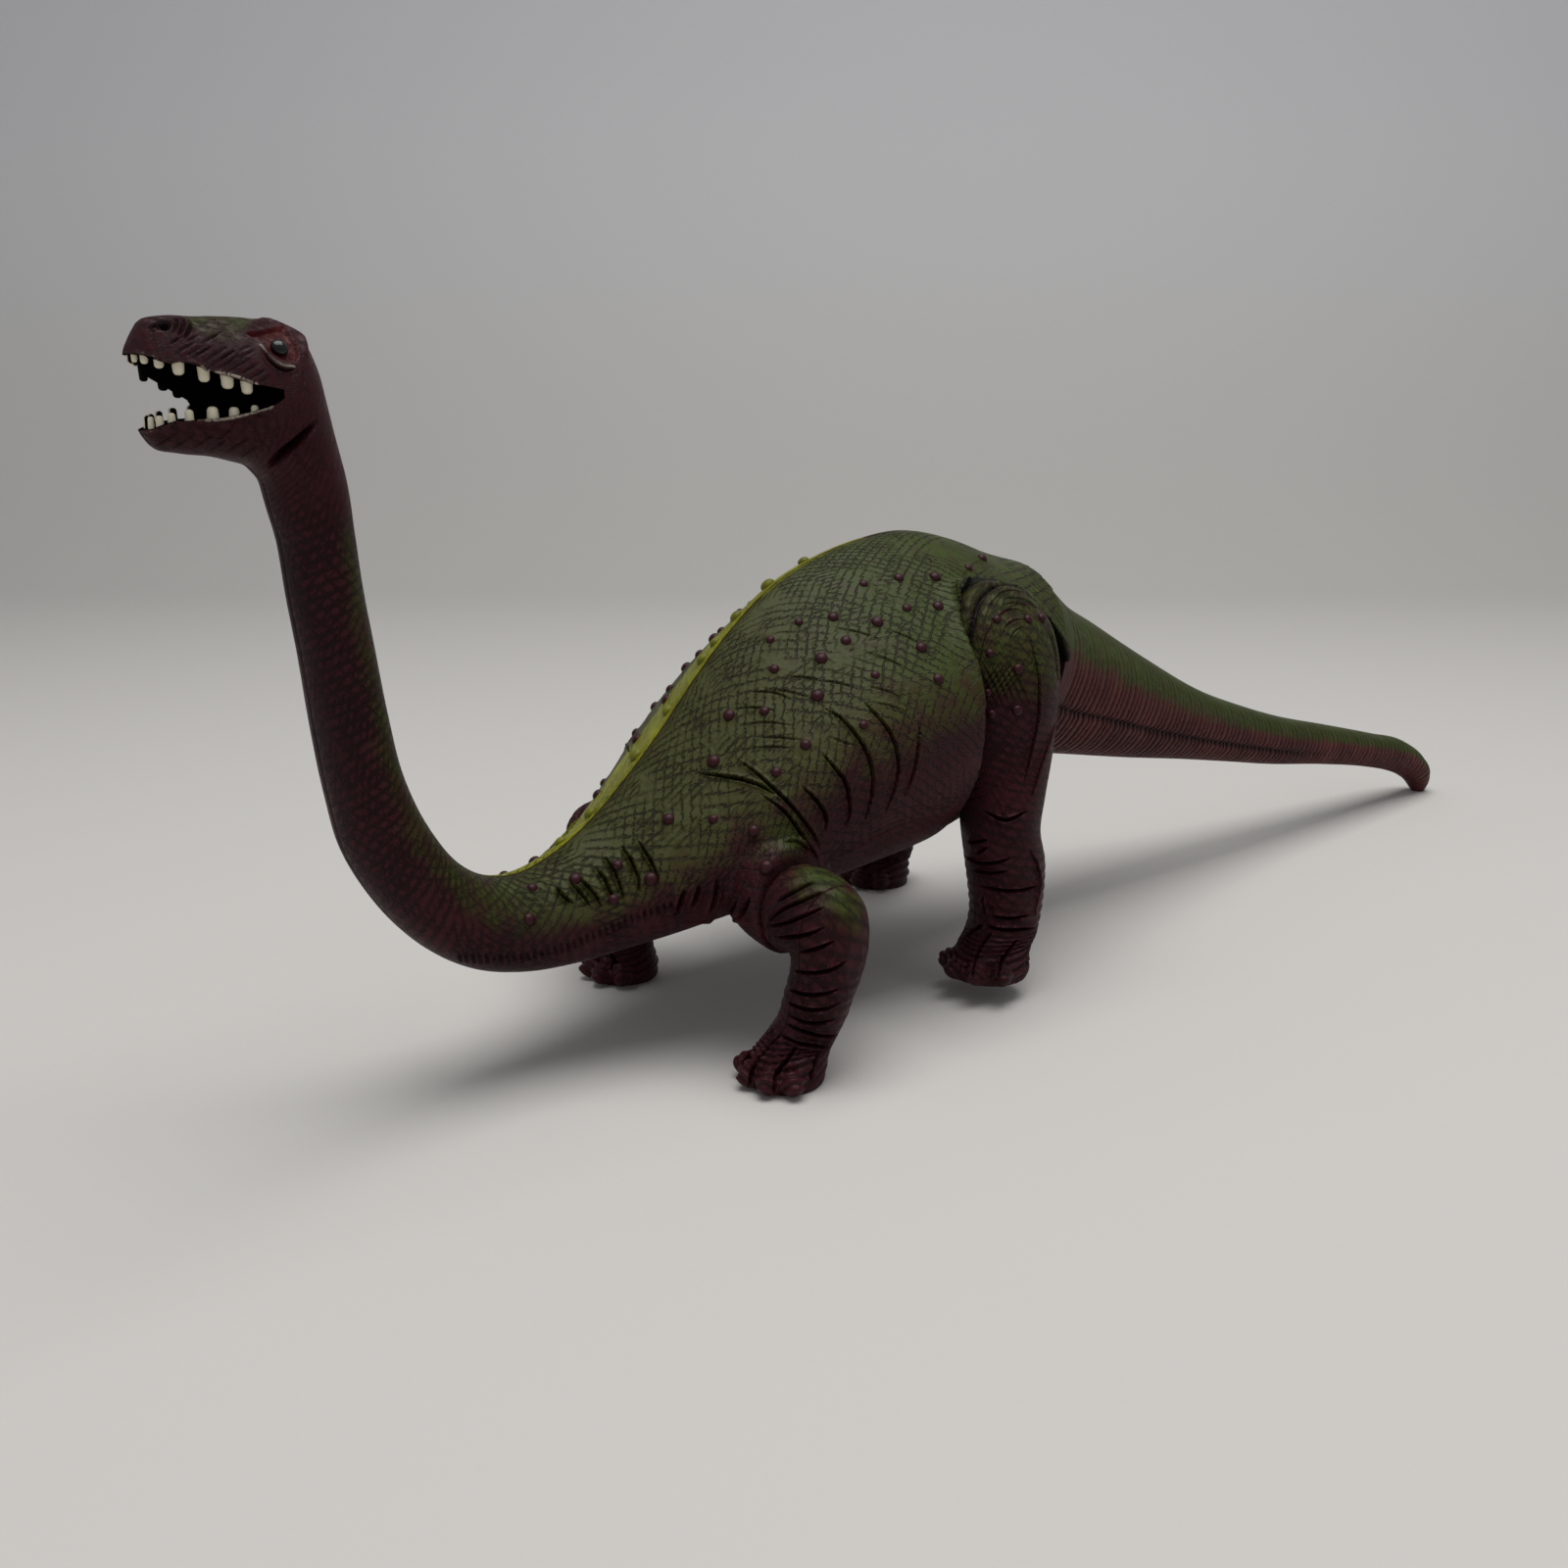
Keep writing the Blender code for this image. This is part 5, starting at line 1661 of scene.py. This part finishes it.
def make_legs():
    material = skin_material("leg_paint", rib_period=1.9, first_period=2.1, second_period=2.4,
                             fine_period=1.5)
    near_fore = plain_foreleg("left", 0, 0)
    far_fore = plain_foreleg("right", fore_stride, fore_splay)
    near_hind = plain_hind_leg("left", 0, 0, hind_lift)
    far_hind = plain_hind_leg("right", hind_stride, hind_splay, 0)

    tree = tree_of(near_fore[0])
    groups = [cast_paths(tree, lines) for lines in (foreleg_creases, (), foreleg_toe_lines, ())]
    elbow = [(cast(tree, spot)[0], radius, amount) for spot, radius, amount in elbow_sprays]
    sculpt_pair(near_fore, far_fore, groups, elbow, "fore")

    tree = tree_of(near_hind[0])
    groups = [cast_paths(tree, lines)
              for lines in (hind_creases + hind_long_lines, thigh_arcs + thigh_hatch + thigh_bars,
                            hind_toe_lines, (thigh_seam,))]
    sculpt_pair(near_hind, far_hind, groups, [], "hind")
    wart_spots = [(place, normal, 0.9) for place, normal in cast_all(tree, thigh_warts)]

    for leg, side_name, splay in ((near_fore[0], "left", 0), (far_fore[0], "right", fore_splay)):
        split_leg(leg, side_name, "foreleg", shoulder_split, splay + fore_split_lean,
                  shoulder_height, shoulder_plane, material)
    for leg, side_name, splay in ((near_hind[0], "left", 0), (far_hind[0], "right", hind_splay)):
        split_leg(leg, side_name, "hindleg", hip_split, splay, hip_height, hip_plane, material)
    wart = plain_paint("wart_paint", wart_maroon, maroon_dark, 0.42, 900, specular=0.2)
    group = warts("thigh_warts_left", wart_spots, wart, "hindleg_left")
    return wart


def make_warts(tree, material):
    left = [(place, normal, 1.0) for place, normal in cast_all(tree, flank_warts)]
    right = [(mirrored(place), normal * np.array((1, -1, 1)), size) for place, normal, size in left]
    ridge = []
    for place, _normal in cast_all(tree, [(x + 4, y + 4) for x, y in ridge_warts]):
        place = place * (1, 0, 1) + (0, ridge_wart_aside - stance_offset, 0)
        ridge.append((*nearest(tree, place), 1.25))
    warts("body_warts_left", left, material, "body")
    warts("body_warts_right", right, material, "body")
    olive = plain_paint("ridge_wart_paint", wart_olive, yellow, 0.42, 500, specular=0.2)
    warts("ridge_warts", ridge, olive, "body")


def make_eyes(tree):
    glossy = plain_paint("eye_gloss", eye_black, eye_brown, 0.22, specular=0.35, bump_depth=0.00001)
    place, normal = cast(tree, eye_spot)
    for side_name, spot, out in (("left", place, normal),
                                 ("right", mirrored(place), normal * (1, -1, 1))):
        eye = bead("eye_" + side_name, eye_radius, 0.7, spot - out * 0.0004, out, 32, 20)
        eye.data.materials.clear()
        eye.data.materials.append(glossy)
        smooth_shading(eye, 80)
        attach(eye, "body")


def blunt_tooth(place, radius, tall, up):
    """A slightly tapered peg with a rounded tip, in the upper jaw or the lower one."""
    bpy.ops.mesh.primitive_cone_add(vertices=20, radius1=radius, radius2=radius * tooth_taper,
                                    depth=tall, location=tuple(place),
                                    rotation=(math.pi if up > 0 else 0, 0, 0))
    tooth = bpy.context.object
    bpy.ops.object.transform_apply(location=True, rotation=True, scale=True)
    mesh = tooth.data
    tip = place[2] - up * tall / 2
    bpy.ops.object.mode_set(mode="EDIT")
    bpy.ops.mesh.select_mode(type="EDGE")
    bpy.ops.mesh.select_all(action="DESELECT")
    bpy.ops.object.mode_set(mode="OBJECT")
    for edge in mesh.edges:
        edge.select = all(abs(mesh.vertices[corner].co.z - tip) < tall / 4
                          for corner in edge.vertices)
    bpy.ops.object.mode_set(mode="EDIT")
    bpy.ops.mesh.bevel(offset=radius * tooth_rounding, segments=4, affect="EDGES")
    bpy.ops.object.mode_set(mode="OBJECT")
    return tooth


def make_teeth(tree):
    """Blunt teeth just inside the lips. Those seen from inside the mouth are black."""
    cream = plain_paint("tooth_paint", tooth_cream, tooth_shade, 0.4, scale=900)
    dark = plain_paint("tooth_inner_black", mouth_black, tooth_black, 0.8, specular=0.05)
    for row_name, teeth, up in (("upper", upper_teeth, 1), ("lower", lower_teeth, -1)):
        pieces = []
        for across, down, width, height in teeth:
            # The lip is looked for 4 pixels over an upper crown, or 8 under a lower one
            lip = cast(tree, (across, down - up * (height / 2 + 6 - 2 * up)))
            if lip is None:
                continue
            ray = np.array(photo_ray((across, down)))
            reach = (lip[0][1] + tooth_setback - camera_place[1]) / ray[1]
            middle = np.array(camera_place) + ray * reach
            for place in both(middle):
                outward = 1 if place[1] > -stance_offset else -1
                radius = width * head_pixel * 0.5
                tall = height * head_pixel * (far_tooth_length if outward > 0 else 1) + tooth_root
                tooth = blunt_tooth(place + np.array((0, 0, up * tooth_root / 2)), radius, tall, up)
                tooth.data.materials.append(cream)
                tooth.data.materials.append(dark)
                inner = (place[1] - 0.0003 * outward) * outward
                for face in tooth.data.polygons:
                    face.material_index = int(face.center.y * outward < inner)
                pieces.append(tooth)
        for across, down, width, height in palate_teeth if up > 0 else ():
            ray = np.array(photo_ray((across, down)))
            far = palate_tooth_aside - stance_offset - camera_place[1]
            place = np.array(camera_place) + ray * far / ray[1]
            tooth = blunt_tooth(place + np.array((0, 0, tooth_root / 2)), width * head_pixel * 0.5,
                                height * head_pixel + tooth_root, up)
            tooth.data.materials.append(dark)
            pieces.append(tooth)
        group = join(pieces)
        group.name = row_name + "_teeth"
        keep_inside(group)
        smooth_shading(group, 50)
        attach(group, "body")


def make_tails():
    material = skin_material("tail_paint", rib_period=0.8, first_period=1.6, second_period=2.0,
                             fine_period=1.3, warm=tail_maroon)
    for side_name, side in sides.items():
        finish_piece(make_tail(side_name, side), [material], "tail",
                     ["tail_shell_" + side_name])


def finish_hardware():
    """Nylon washers and steel screws inside."""
    nylon = plain_paint("washer_nylon_finish", nylon_pale, nylon_shade, 0.5)
    steel = plain_paint("screw_steel_finish", steel_pale, steel_shade, 0.32, scale=2000)
    steel.node_tree.nodes["Principled BSDF"].inputs["Metallic"].default_value = 1.0
    for name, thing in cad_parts.items():
        for ending, material in (("_washer", nylon), ("_screw", steel)):
            if name.endswith(ending):
                thing.data.materials.clear()
                thing.data.materials.append(material)


# Studio

def make_studio():
    """A pale floor that curves up into the backdrop, square to the camera's view, and the light."""
    ahead = Vector((math.sin(-camera_turn.z), math.cos(camera_turn.z), 0))
    aside = Vector((ahead.y, -ahead.x, 0))
    start = Vector((camera_place.x, camera_place.y, 0))
    profile = [(sweep_behind, 0.0)]
    for step in range(sweep_steps + 1):
        turn = math.radians(90) * step / sweep_steps
        profile.append((sweep_start + sweep_radius * math.sin(turn),
                        sweep_radius * (1 - math.cos(turn))))
    profile.append((sweep_start + sweep_radius, sweep_top))
    points = []
    for far, high in profile:
        for out in (-sweep_half_width, sweep_half_width):
            points.append(start + ahead * far + aside * out + Vector((0, 0, high)))
    faces = [(2 * row, 2 * row + 1, 2 * row + 3, 2 * row + 2) for row in range(len(profile) - 1)]
    sweep = new_piece("studio_sweep", points, faces)
    select_only(sweep)
    bpy.ops.object.shade_smooth()
    graph = Graph("studio_sweep_paper")
    place = graph.node("ShaderNodeSeparateXYZ")
    graph.link(graph.place(), place.inputs["Vector"])
    rise = graph.smooth_range(place.outputs["Z"], 0.0, sweep_dark_height)
    graph.link(graph.blend(rise, paper_low, paper_high), graph.shader.inputs["Base Color"])
    graph.shader.inputs["Roughness"].default_value = 0.85
    sweep.data.materials.append(graph.material)

    world = bpy.data.worlds.new("studio_world")
    bpy.context.scene.world = world
    world.use_nodes = True
    background = world.node_tree.nodes["Background"]
    background.inputs["Color"].default_value = room_light
    background.inputs["Strength"].default_value = room_strength

    light = bpy.data.lights.new("softbox", "AREA")
    light.shape = "RECTANGLE"
    light.size, light.size_y = softbox_size
    light.energy = softbox_energy
    box = bpy.data.objects.new("softbox", light)
    bpy.context.scene.collection.objects.link(box)
    box.location = softbox_place
    box.rotation_euler = (softbox_tilt, 0, 0)


def main():
    add_camera()
    make_studio()
    tree = make_body_skins()
    wart = make_legs()
    make_warts(tree, wart)
    make_eyes(tree)
    make_teeth(tree)
    make_tails()
    finish_hardware()
    bpy.context.scene.view_settings.view_transform = "Standard"


main()
